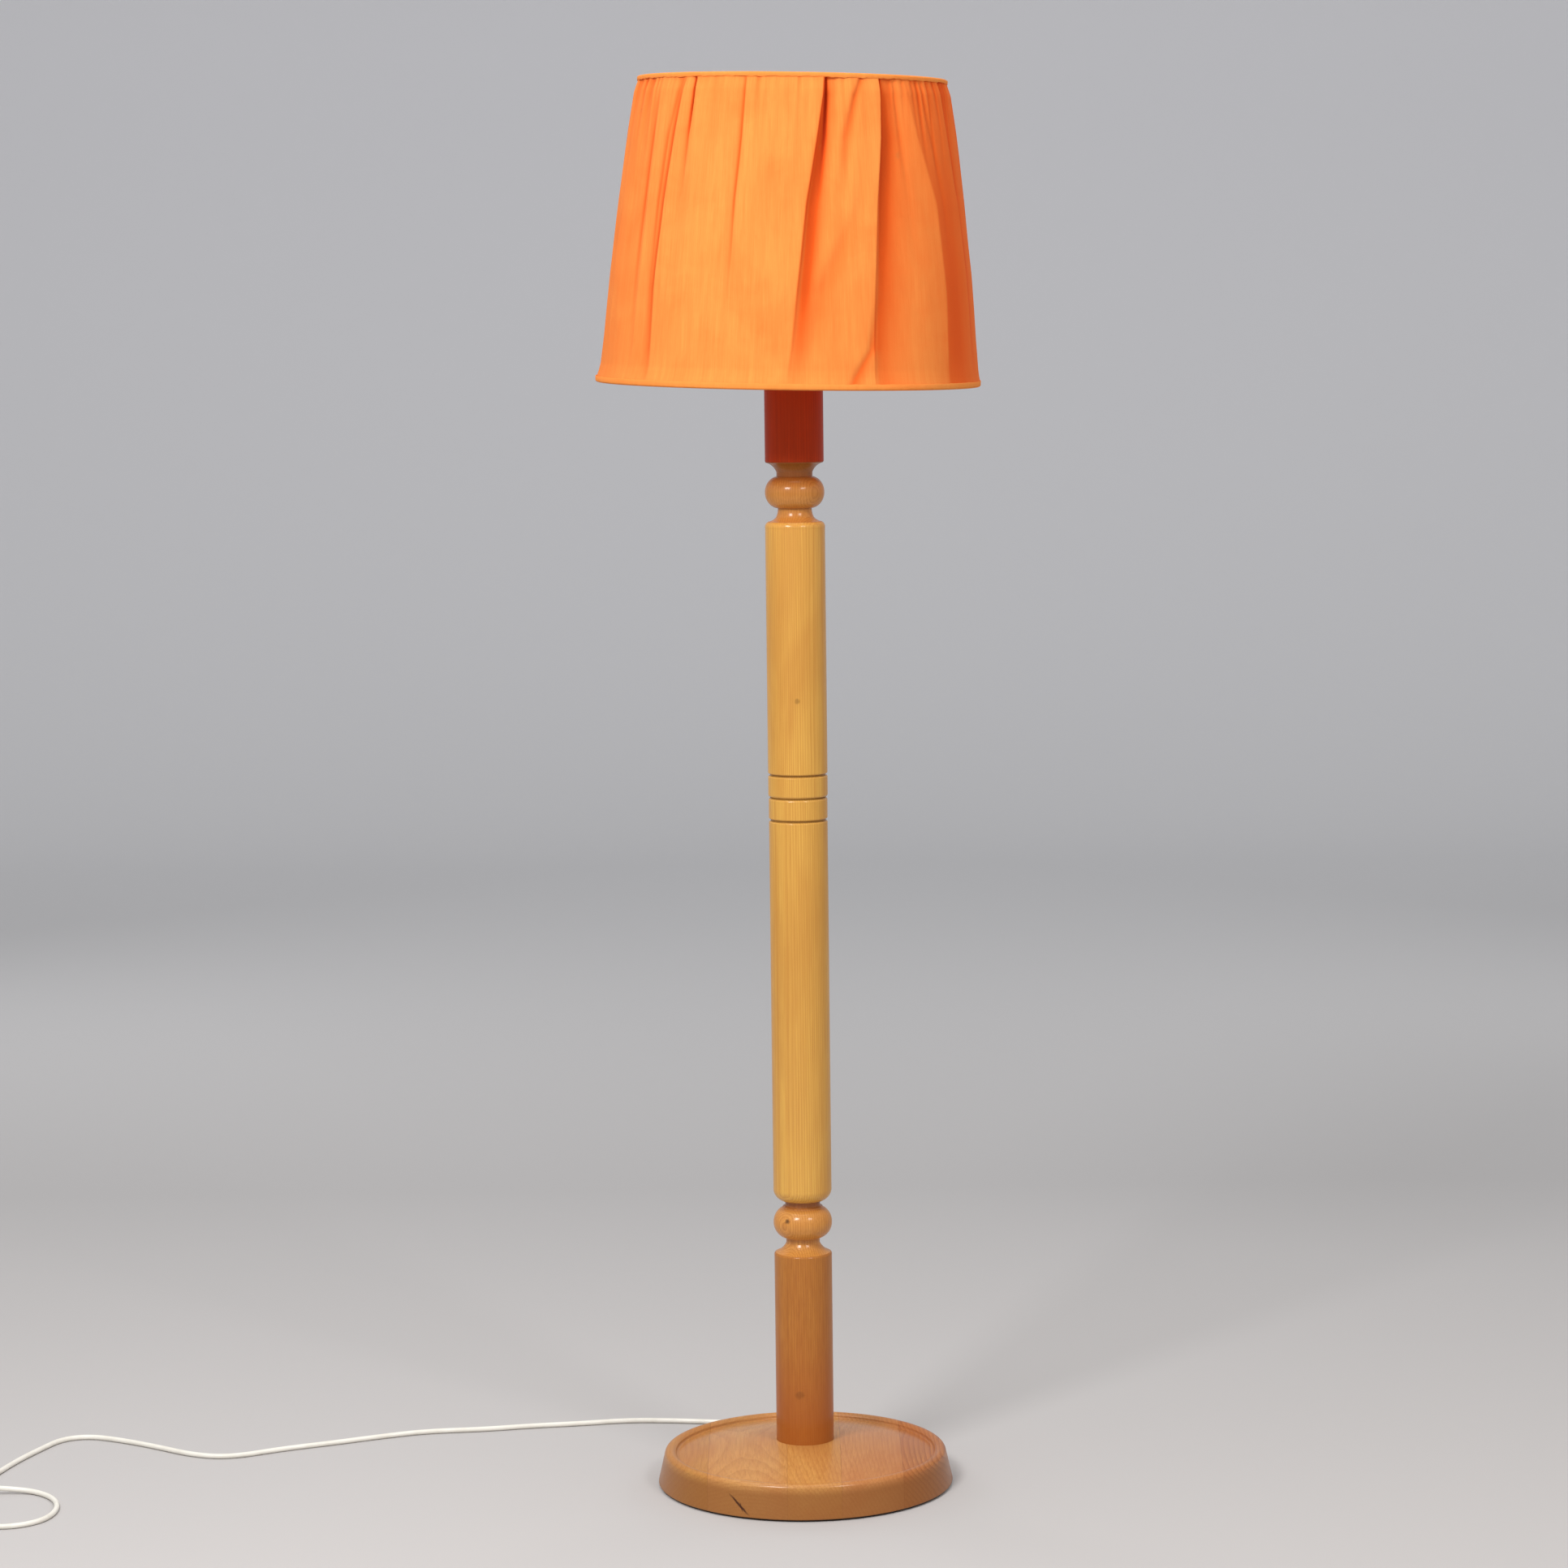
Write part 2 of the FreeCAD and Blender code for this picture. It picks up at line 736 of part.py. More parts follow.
def centre_contact():
    return [Part.makeBox(contact_length, contact_width, contact_thickness,
                         Vector(-contact_length / 2, -contact_width / 2, insert_top_z))]


def shade_ring_nut():
    inner = holder_body_radius + ring_nut_clearance
    nut = ring(ring_nut_radius, inner, ring_nut_height, ring_nut_z)
    for angle in around(ring_nut_flutes, 0):
        flute = cylinder(ring_nut_flute_radius, ring_nut_height,
                         polar(ring_nut_radius + ring_nut_flute_radius * 0.4, angle, ring_nut_z))
        nut = nut.cut(flute)
    return [nut]


def switch_bush():
    x = cap_radius - switch_bush_inner
    z = cap_z + switch_height
    along = Vector(1, 0, 0)
    barrel = cylinder(switch_bush_radius, switch_bush_inner + switch_bush_flange,
                      Vector(x, 0, z), along)
    flange = cylinder(switch_bush_flange_radius, switch_bush_flange,
                      Vector(cap_radius, 0, z), along)
    bore = cylinder(switch_shaft_radius + switch_clearance, cap_radius, Vector(x - 1, 0, z), along)
    curved = cylinder(cap_radius, cap_height, Vector(0, 0, cap_z))
    return [barrel.fuse(flange.cut(curved)).cut(bore).removeSplitter()]


def switch_key():
    z = cap_z + switch_height
    along = Vector(1, 0, 0)
    face = cap_radius + switch_bush_flange + switch_key_gap
    shaft = cylinder(switch_shaft_radius, face - cap_radius + switch_bush_inner + 1,
                     Vector(cap_radius - switch_bush_inner - 1, 0, z), along)
    hub = cylinder(switch_key_hub_radius, switch_key_hub_length, Vector(face, 0, z), along)
    wing_start = face + switch_key_hub_length - 1.0
    wing = Part.makeBox(switch_key_wing_length, switch_key_wing_thickness, switch_key_wing_width,
                        Vector(wing_start, -switch_key_wing_thickness / 2,
                               z - switch_key_wing_width / 2))
    corner_edges = [edge for edge in wing.Edges
                    if abs(edge.CenterOfMass.x - wing_start - switch_key_wing_length) < 1e-6
                    and abs(edge.CenterOfMass.y) < 1e-6]
    wing = wing.makeFillet(switch_key_wing_length * 0.45, corner_edges)
    return [shaft.fuse(hub).fuse(wing).removeSplitter()]


# ---- bulb --------------------------------------------------------------------
def bulb_tip():
    return [
        Outline(0, bulb_z)
        .line(bulb_tip_radius * 0.7, bulb_z)
        .line(bulb_tip_radius, bulb_tip_height * 0.5 + bulb_z)
        .line(bulb_tip_radius, bulb_cap_z)
        .line(0, bulb_cap_z)
        .turned()
    ]


def bulb_cap():
    low = bulb_cap_z
    high = low + bulb_cap_height
    wall = bulb_cap_wall
    return [
        Outline(bulb_tip_radius * 0.6, low)
        .line(bulb_tip_radius + 0.5, low)
        .line(bulb_cap_radius, low + bulb_base_taper)
        .line(bulb_cap_radius, high)
        .line(bulb_cap_radius - wall, high)
        .line(bulb_cap_radius - wall, low + bulb_base_taper + wall)
        .line(bulb_tip_radius * 0.6, low + wall * 1.6)
        .turned()
    ]


def glass_outline(inset):
    """Pear outline of the bulb's glass, inset by the wall for its inside."""
    low = bulb_cap_z + bulb_cap_height * 0.6
    radius = bulb_glass_radius - inset
    centre_z = bulb_z + bulb_length - bulb_glass_radius
    neck = bulb_neck_radius - inset
    neck_top = bulb_cap_z + bulb_cap_height + 2.0
    dip = math.radians(-32.0)
    low_side = Vector(radius * math.cos(dip), 0, centre_z + radius * math.sin(dip))
    outline = Outline(0, low + inset * 1.5)
    outline.line(neck, low + inset * 1.5)
    outline.line(neck, neck_top)
    outline.arc(low_side.x, low_side.z, -1.8)
    mid = math.radians(29.0)
    outline.edges.append(Part.Arc(
        outline.here,
        Vector(radius * math.cos(mid), 0, centre_z + radius * math.sin(mid)),
        Vector(0, 0, centre_z + radius)).toShape())
    outline.here = Vector(0, 0, centre_z + radius)
    return outline


def bulb_glass():
    return [glass_outline(0).turned().cut(glass_outline(bulb_glass_wall).turned())]


# ---- shade -------------------------------------------------------------------
def leaned(shape):
    """Turn a piece of the shade, drawn upright, to the slight lean of the whole shade."""
    pivot = Vector(0, 0, fitter_z)
    shape.rotate(pivot, Vector(1, 0, 0), shade_tilt_front)
    shape.rotate(pivot, Vector(0, 1, 0), shade_tilt_side)
    shape.translate(Vector(shade_shift, 0, 0))
    return shape


def leaned_point(point):
    return leaned(Part.Vertex(point)).Point


def wire_ring(radius, z):
    return Part.makeTorus(radius, ring_wire_radius, Vector(0, 0, z))


def shade_top_ring():
    return [leaned(wire_ring(top_ring_radius, top_ring_z))]


def shade_bottom_ring():
    return [leaned(wire_ring(bottom_ring_radius, bottom_ring_z))]


def rod(start, end, radius):
    along = end - start
    return cylinder(radius, along.Length, start, along)


def shade_ribs():
    reach = ring_wire_radius + wire_gap
    ribs = []
    for angle in around(rib_count, from_front(rib_first_angle)):
        high = polar(top_ring_radius - rib_inset, angle, top_ring_z)
        low = polar(bottom_ring_radius - rib_inset, angle, bottom_ring_z)
        along = (high - low).normalize()
        ribs.append(leaned(rod(low + along * reach, high - along * reach, rib_wire_radius)))
    return ribs


def shade_spider():
    inner = holder_body_radius + fitter_clearance
    spider = ring(fitter_outer_radius, inner, fitter_thickness, fitter_z)
    middle = fitter_z + fitter_thickness / 2
    for angle in around(arm_count, arm_first_angle):
        root = polar(fitter_outer_radius - arm_wire_radius * 1.3, angle, middle)
        knee = polar(fitter_outer_radius + arm_knee_rise * 0.9, angle, middle + arm_knee_rise)
        ring_point = leaned_point(polar(top_ring_radius, angle, top_ring_z - arm_drop))
        along = (ring_point - knee).normalize()
        tip = ring_point - along * (ring_wire_radius + wire_gap - arm_drop * along.z)
        spider = spider.fuse(rod(root, knee, arm_wire_radius))
        spider = spider.fuse(Part.makeSphere(arm_wire_radius, knee))
        spider = spider.fuse(rod(knee, tip, arm_wire_radius))
    return [spider.removeSplitter()]


def cloth_section(share, bulge, strength, inset):
    """Closed wire of arcs, one between each two folds, at one height of the shade."""
    low = shade_bottom_z + binding_thickness + layer_gap
    high = shade_top_z - binding_thickness - layer_gap
    z = low + (high - low) * share
    hem_radius = shade_bottom_radius - binding_thickness - layer_gap
    radius = hem_radius + (shade_top_radius - shade_bottom_radius) * share + bulge
    angles = [hem + (top - hem) * share for top, hem, _ in shade_folds]
    valleys = [polar(radius - inset - depth * strength, from_front(angle), z)
               for angle, (_, _, depth) in zip(angles, shade_folds)]
    edges = []
    for k, start in enumerate(valleys):
        following = (k + 1) % len(valleys)
        gap = (angles[following] - angles[k]) % 360.0
        crown = polar(radius - inset, from_front(angles[k] + gap / 2), z)
        edges.append(Part.Arc(start, crown, valleys[following]).toShape())
    return Part.Wire(edges)


def shade_cloth():
    outer = Part.makeLoft([cloth_section(*section, 0.0) for section in shade_sections], True, True)
    inner_sections = [cloth_section(*section, cloth_thickness) for section in shade_sections]
    lowest = inner_sections[0].copy()
    lowest.translate(Vector(0, 0, -1))
    highest = inner_sections[-1].copy()
    highest.translate(Vector(0, 0, 1))
    inner = Part.makeLoft([lowest] + inner_sections[:] + [highest], True, True)
    return [leaned(outer.cut(inner))]


def binding(ring_radius, outer_radius, edge_z, height, inward):
    """Bias strip folded over a ring and the cloth: inward is +1 at the hem and -1 at the top."""
    wall = binding_thickness
    inside = ring_radius - ring_wire_radius - wire_gap - wall
    lap = edge_z + inward * height
    short_lap = edge_z + inward * binding_inner_lap
    fold = edge_z + inward * wall
    solid = (
        Outline(inside + wall * 0.6, edge_z)
        .line(outer_radius - wall * 0.6, edge_z)
        .line(outer_radius, edge_z + inward * wall * 0.6)
        .line(outer_radius, lap)
        .line(outer_radius - wall, lap)
        .line(outer_radius - wall, fold)
        .line(inside + wall, fold)
        .line(inside + wall, short_lap)
        .line(inside, short_lap)
        .line(inside, edge_z + inward * wall * 0.6)
        .turned()
    )
    return leaned(solid)


def shade_top_binding():
    return [binding(top_ring_radius, shade_top_radius, shade_top_z, top_binding_height, -1)]


def shade_hem_binding():
    return [binding(bottom_ring_radius, shade_bottom_radius, shade_bottom_z,
                    hem_binding_height, 1)]


# ---- lead --------------------------------------------------------------------
def exit_point(radius):
    return exit_direction * radius + UP * cord_exit_height


def cord_grommet():
    """Turned about the lead: barrel in the wall, flange outside it, tapered strain relief."""
    bore = cord_radius + grommet_cord_clearance
    barrel = -grommet_barrel_length
    flange = grommet_flange_thickness
    solid = (
        Outline(bore, barrel)
        .line(grommet_barrel_radius, barrel)
        .line(grommet_barrel_radius, 0)
        .line(grommet_flange_radius, 0)
        .line(grommet_flange_radius, flange * 0.6)
        .line(relief_start_radius, flange)
        .line(relief_end_radius, flange + relief_length)
        .line(bore, flange + relief_length)
        .turned()
    )
    solid.rotate(Vector(0, 0, 0), Vector(0, 1, 0), 90)
    solid.rotate(Vector(0, 0, 0), UP, cord_exit_angle)
    solid.translate(exit_point(seat_radius))
    return [solid]


def clamp_bottom_z():
    return cord_exit_height - cord_radius - clamp_below - clamp_screw_head_height


def clamp_screw_places():
    middle = exit_direction * clamp_distance
    offset = exit_side * (clamp_screw_spacing / 2)
    return [middle - offset, middle + offset]


def cord_clamp():
    low = cord_exit_height - cord_radius - clamp_below
    block = Part.makeBox(clamp_length, clamp_width, recess_z - low,
                         Vector(clamp_distance - clamp_length / 2, -clamp_width / 2, low))
    upright = [edge for edge in block.Edges
               if abs(edge.Vertexes[0].Point.z - edge.Vertexes[1].Point.z) > 1]
    block = block.makeFillet(clamp_length * 0.3, upright)
    block.rotate(Vector(0, 0, 0), UP, cord_exit_angle)
    hole = cylinder(cord_radius + grommet_cord_clearance, clamp_distance * 2,
                    exit_point(0), exit_direction)
    block = block.cut(hole)
    for place in clamp_screw_places():
        block = block.cut(cylinder(clamp_screw_radius + screw_hole_clearance,
                                   recess_z, place))
    return [block]


def clamp_screws():
    return [slotted_screw(place, clamp_bottom_z(), clamp_screw_radius, clamp_screw_length,
                          clamp_screw_head_radius, clamp_screw_head_height)
            for place in clamp_screw_places()]


def rounded_path(points, radii=None, name=None):
    """Straight runs joined by tangent arcs; each arc is as large as its two runs allow."""
    edges = []
    here = points[0]
    used = []
    for k in range(1, len(points) - 1):
        before = points[k] - points[k - 1]
        after = points[k + 1] - points[k]
        turn = before.getAngle(after)
        if radii:
            radius = radii[k - 1]
        else:
            radius = 0.45 * min(before.Length, after.Length) / math.tan(turn / 2)
        used.append(radius)
        reach = radius * math.tan(turn / 2)
        before.normalize()
        after.normalize()
        start = points[k] - before * reach
        end = points[k] + after * reach
        to_centre = (after - before).normalize()
        centre = points[k] + to_centre * (radius / math.cos(turn / 2))
        middle = centre - to_centre * radius
        edges.append(Part.LineSegment(here, start).toShape())
        edges.append(Part.Arc(start, middle, end).toShape())
        here = end
    edges.append(Part.LineSegment(here, points[-1]).toShape())
    if name:
        print(name, "bend radii:", " ".join("%.0f" % radius for radius in used))
    return Part.Wire(edges)


def tube_along(path, radius, name):
    """Pipe of one radius along a path, with its volume compared with section times length."""
    first = path.OrderedEdges[0]
    start = path.OrderedVertexes[0].Point
    at_start = first.Curve.parameter(start)
    profile = Part.Wire(Part.makeCircle(radius, start, first.tangentAt(at_start)))
    solid = path.makePipeShell([profile], True, False)
    expected = math.pi * radius ** 2 * path.Length
    print("%s length %.1f, volume %.1f, section times length %.1f"
          % (name, path.Length, solid.Volume, expected))
    return solid


def inner_cord():
    top = body_z - insert_below - terminal_head_height - 1.5
    bend = inner_bend_radius
    points = [exit_point(relief_end), exit_point(0), Vector(0, 0, top)]
    path = rounded_path(points, [bend], "inner cord")
    return [tube_along(path, cord_radius, "inner cord")]


def lead_points():
    points = [exit_point(relief_end)]
    points += [Vector(*place) for place in cord_route]
    points.append(coil_path_points()[0][0])
    return points


def coil_path_points():
    """Quarter-turn stations of the coil: (place, direction), from the lead's end to the tail.

    The lower layer winds inwards, the cord climbs in the half turn where the spiral
    reverses, and the upper layer winds outwards again.
    """
    reversal = coil_turns_per_layer + coil_climb_turns / 2
    upper_start = coil_turns_per_layer + coil_climb_turns
    quarters = int(round((upper_start + coil_last_turns) * 4))
    centre = Vector(coil_centre[0], coil_centre[1], 0)
    stations = []
    for k in range(quarters + 1):
        turn = k / 4.0
        angle = math.radians(coil_start_angle + 360.0 * turn)
        radius = coil_outer_radius - coil_pitch * (reversal - abs(turn - reversal))
        inwards = (turn < reversal) - (turn > reversal)
        climbed = min(max((turn - coil_turns_per_layer) / coil_climb_turns, 0.0), 1.0)
        z = cord_level + coil_pitch * climbed
        rise = coil_pitch / (coil_climb_turns * 2 * math.pi) if 0.0 < climbed < 1.0 else 0.0
        slope = -inwards * coil_pitch / (2 * math.pi) if 0 < k < quarters else 0.0
        outward = Vector(math.cos(angle), math.sin(angle), 0)
        onward = Vector(-math.sin(angle), math.cos(angle), 0)
        place = centre + outward * radius + UP * z
        direction = (onward * radius + outward * slope + UP * rise).normalize()
        stations.append((place, direction))
    return stations


def arc_from(start, direction, end):
    """Arc that leaves start along direction and passes through end."""
    chord = end - start
    across = chord - direction * chord.dot(direction)
    if across.Length < 1e-7:
        return Part.LineSegment(start, end).toShape()
    across.normalize()
    radius = chord.dot(chord) / (2 * chord.dot(across))
    centre = start + across * radius
    middle_way = (start + end) * 0.5 - centre
    if chord.dot(direction) < 0:
        middle_way = -middle_way
    middle = centre + middle_way.normalize() * abs(radius)
    return Part.Arc(start, middle, end).toShape()


def biarc(start, start_direction, end, end_direction):
    """Two arcs that meet smoothly and keep the direction at both ends."""
    gap = end - start
    both = start_direction + end_direction
    spread = 2 * (1 - start_direction.dot(end_direction))
    along = gap.dot(both)
    reach = (-along + math.sqrt(along ** 2 + spread * gap.dot(gap))) / spread
    middle = (start + start_direction * reach + end - end_direction * reach) * 0.5
    return [arc_from(start, start_direction, middle), arc_from(end, -end_direction, middle)]


def coil_path():
    stations = coil_path_points()
    edges = []
    for (start, leaving), (end, arriving) in zip(stations, stations[1:]):
        edges += biarc(start, leaving, end, arriving)
    return Part.Wire(Part.__sortEdges__(edges))


def least_self_gap(path, radius, near):
    """Least gap between stretches of a tube that are further apart along it than near."""
    points = path.discretize(Distance=2.0)
    step = path.Length / (len(points) - 1)
    skip = int(near / step)
    least = min(points[i].distanceToPoint(points[j])
                for i in range(len(points)) for j in range(i + skip, len(points)))
    return least - 2 * radius


def cord_lead():
    path = rounded_path(lead_points(), None, "lead")
    return [tube_along(path, cord_radius, "lead")]


def cord_coil():
    path = coil_path()
    print("coil's least gap to itself %.2f" % least_self_gap(path, cord_radius, coil_neighbour_run))
    return [tube_along(path, cord_radius, "coil")]


def tail_points():
    place, direction = coil_path_points()[-1]
    level = plug_thickness / 2 + floor_gap
    flat = Vector(direction.x, direction.y, 0).normalize()
    end = place + flat * plug_distance
    end.z = level
    bend_a = place + flat * (plug_distance * 0.35)
    bend_b = place + flat * (plug_distance * 0.68)
    bend_b.z = level
    return [place, bend_a, bend_b, end], flat


def cord_tail():
    points, _ = tail_points()
    path = rounded_path(points, None, "tail")
    return [tube_along(path, cord_radius, "tail")]


def placed_plug(solid):
    """Move a piece drawn with the lead's end at the origin and the pins along +X."""
    points, flat = tail_points()
    angle = math.degrees(math.atan2(flat.y, flat.x))
    solid.rotate(Vector(0, 0, 0), UP, angle)
    solid.translate(points[-1])
    return solid


def plug_body():
    tail = (
        Outline(0, 0)
        .line(cord_radius + 0.7, 0)
        .line(plug_tail_radius, plug_tail_length)
        .line(0, plug_tail_length)
        .turned()
    )
    tail.rotate(Vector(0, 0, 0), Vector(0, 1, 0), 90)
    half = plug_width / 2
    nose = plug_nose_width / 2
    start = plug_tail_length - 2.0
    end = start + plug_body_length
    waist = start + plug_body_length * 0.45
    corners = [(start, -nose * 0.55), (waist, -nose), (end, -half), (end, half), (waist, nose),
               (start, nose * 0.55), (start, -nose * 0.55)]
    outline = Part.makePolygon([Vector(x, y, -plug_thickness / 2) for x, y in corners])
    body = Part.Face(outline).extrude(Vector(0, 0, plug_thickness))
    rims = [edge for edge in body.Edges
            if abs(abs(edge.CenterOfMass.z) - plug_thickness / 2) < 1e-6]
    body = body.makeFillet(plug_edge_round, rims)
    return [placed_plug(body.fuse(tail).removeSplitter())]


def plug_pins():
    start = plug_tail_length - 2.0 + plug_body_length
    pins = []
    for side in (-1, 1):
        pin = cylinder(plug_pin_radius, plug_pin_length - 1.0,
                       Vector(start, side * plug_pin_spacing / 2, 0), Vector(1, 0, 0))
        tip = Part.makeCone(plug_pin_radius, plug_pin_radius * 0.5, 1.0,
                            Vector(start + plug_pin_length - 1.0, side * plug_pin_spacing / 2, 0),
                            Vector(1, 0, 0))
        pins.append(placed_plug(pin.fuse(tip).removeSplitter()))
    return pins


# ---- all sub-parts ---------------------------------------------------------------
SUB_PARTS = {
    "base_felt": base_felt,
    "base_disc": base_disc,
    "base_weight": base_weight,
    "weight_screws": weight_screws,
    "base_washer": base_washer,
    "base_nut": base_nut,
    "bottom_section": bottom_section,
    "lower_bead": lower_bead,
    "lower_shaft": lower_shaft,
    "upper_shaft": upper_shaft,
    "upper_bead": upper_bead,
    "top_section": top_section,
    "threaded_tube": threaded_tube,
    "top_washer": top_washer,
    "top_nut": top_nut,
    "holder_cap": holder_cap,
    "holder_body": holder_body,
    "holder_insert": holder_insert,
    "terminal_screws": terminal_screws,
    "screw_shell": screw_shell,
    "centre_contact": centre_contact,
    "shade_ring_nut": shade_ring_nut,
    "switch_bush": switch_bush,
    "switch_key": switch_key,
    "bulb_tip": bulb_tip,
    "bulb_cap": bulb_cap,
    "bulb_glass": bulb_glass,
    "shade_spider": shade_spider,
    "shade_top_ring": shade_top_ring,
    "shade_bottom_ring": shade_bottom_ring,
    "shade_ribs": shade_ribs,
    "shade_cloth": shade_cloth,
    "shade_top_binding": shade_top_binding,
    "shade_hem_binding": shade_hem_binding,
    "cord_grommet": cord_grommet,
    "cord_clamp": cord_clamp,
    "clamp_screws": clamp_screws,
    "inner_cord": inner_cord,
    "cord_lead": cord_lead,
    "cord_coil": cord_coil,
    "cord_tail": cord_tail,
    "plug_body": plug_body,
    "plug_pins": plug_pins,
}

os.makedirs("parts", exist_ok=True)
for node, make in SUB_PARTS.items():
    solids = make()
    shape = solids[0] if len(solids) == 1 else Part.makeCompound(solids)
    if not shape.isValid():
        print(node, "is not a valid shape")
    shape.exportStep("parts/%s.step" % node)
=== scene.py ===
import math

import bpy
import numpy as np
from mathutils import Matrix, Vector


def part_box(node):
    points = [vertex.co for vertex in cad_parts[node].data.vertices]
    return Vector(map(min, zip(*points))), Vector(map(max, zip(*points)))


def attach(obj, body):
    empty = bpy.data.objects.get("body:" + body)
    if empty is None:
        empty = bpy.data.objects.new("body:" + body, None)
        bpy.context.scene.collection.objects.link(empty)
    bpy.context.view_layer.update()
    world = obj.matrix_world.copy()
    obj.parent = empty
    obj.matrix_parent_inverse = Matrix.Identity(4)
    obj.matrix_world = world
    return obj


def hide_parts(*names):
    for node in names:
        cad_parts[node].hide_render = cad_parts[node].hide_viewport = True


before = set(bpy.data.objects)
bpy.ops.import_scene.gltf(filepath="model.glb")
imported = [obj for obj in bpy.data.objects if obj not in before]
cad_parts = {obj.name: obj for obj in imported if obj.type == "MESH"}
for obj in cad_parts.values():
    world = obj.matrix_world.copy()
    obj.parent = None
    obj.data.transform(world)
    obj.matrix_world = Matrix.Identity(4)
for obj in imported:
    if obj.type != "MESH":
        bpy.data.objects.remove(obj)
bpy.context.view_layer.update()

# ---- sizes and places, in metres ---------------------------------------------
MM = 0.001
CORD_RADIUS = 2.7 * MM
FLOOR_GAP = 0.05 * MM
CORD_LEVEL = CORD_RADIUS + FLOOR_GAP
CROSSING_LEVEL = CORD_LEVEL + 2 * CORD_RADIUS + 1.0 * MM

# the free lead: x, y and height of its centre in millimetres, from the strain relief's end
CORD_EXIT = (-30.02, 170.24, 12.0)
CORD_ROUTE = [
    (-33.7, 191, 12.0), (-43, 209, 6.5), (-64, 221), (-104, 229), (-148, 236), (-193, 239),
    (-243, 228), (-300, 220), (-350, 208), (-410, 203), (-456, 185), (-510, 159),
    (-560, 138), (-612, 107), (-653, 117), (-700, 154), (-741, 181), (-777, 198),
    (-806, 187), (-821, 150), (-838, 104), (-852, 50), (-862, -4), (-868, -57),
    (-862, -105), (-838, -138), (-802, -146), (-771, -126), (-762, -87), (-771, -46),
    (-796, -17), (-826, -14, 5.4), (-856, -22, CROSSING_LEVEL / MM),
    (-884, -34, CROSSING_LEVEL / MM), (-912, -42),
]
COIL_CENTRE = (-0.944, -0.078)
COIL_OUTER_RADIUS = 36 * MM
COIL_PITCH = 2 * CORD_RADIUS + 0.7 * MM
COIL_TURNS_PER_LAYER = 2
COIL_CLIMB_TURNS = 0.5
COIL_LAST_TURNS = 1.75
COIL_START_ANGLE = 90.0
COIL_POINTS_PER_TURN = 16
PLUG_DISTANCE = 44 * MM
PLUG_LEVEL = 6.85 * MM

# the shade, drawn upright and then leaned about the fitter
SHADE_TOP_Z = 1438.8 * MM
SHADE_BOTTOM_Z = 1134.2 * MM
SHADE_TOP_RADIUS = 155.3 * MM
SHADE_BOTTOM_RADIUS = 194.5 * MM
SHADE_TILT_SIDE = 1.45
SHADE_TILT_FRONT = 1.48
SHADE_SHIFT = -2.6 * MM
CLOTH_THICKNESS = 0.8 * MM
BINDING_THICKNESS = 0.7 * MM
LAYER_GAP = 0.15 * MM
RING_WIRE_RADIUS = 1.7 * MM
WIRE_GAP = 0.2 * MM
TOP_BINDING_HEIGHT = 4.6 * MM
HEM_BINDING_HEIGHT = 6.2 * MM
BINDING_INNER_LAP = 3.4 * MM
CLOTH_LOW_Z = SHADE_BOTTOM_Z + BINDING_THICKNESS + LAYER_GAP
CLOTH_HIGH_Z = SHADE_TOP_Z - BINDING_THICKNESS - LAYER_GAP
CLOTH_HEM_RADIUS = SHADE_BOTTOM_RADIUS - BINDING_THICKNESS - LAYER_GAP
CLOTH_TOP_RADIUS = SHADE_TOP_RADIUS - BINDING_THICKNESS - LAYER_GAP

# the sweep of paper that the lamp stands on, and the strength of the world's light
STAGE_FRONT = -14.0
STAGE_BACK = 5.2
STAGE_BEND = 1.8
STAGE_HIGH = 6.5
STAGE_HALF = 14.0
WORLD_STRENGTH = 0.48

# the camera that took the photograph
PHOTO_SIZE = 1932
FOCAL_PIXELS = 5000.0
SENSOR = 36.0
CAMERA_PLACE = Vector((-0.0142, -4.117, 1.163))
CAMERA_PITCH = math.radians(6.03)
CAMERA_ROLL = 0.0116


# ---- materials -----------------------------------------------------------------
def linear(code):
    """Linear colour of an sRGB code such as D9A64F."""
    parts = [int(code[k:k + 2], 16) / 255 for k in (0, 2, 4)]
    return tuple(c / 12.92 if c <= 0.04045 else ((c + 0.055) / 1.055) ** 2.4 for c in parts) + (1.0,)


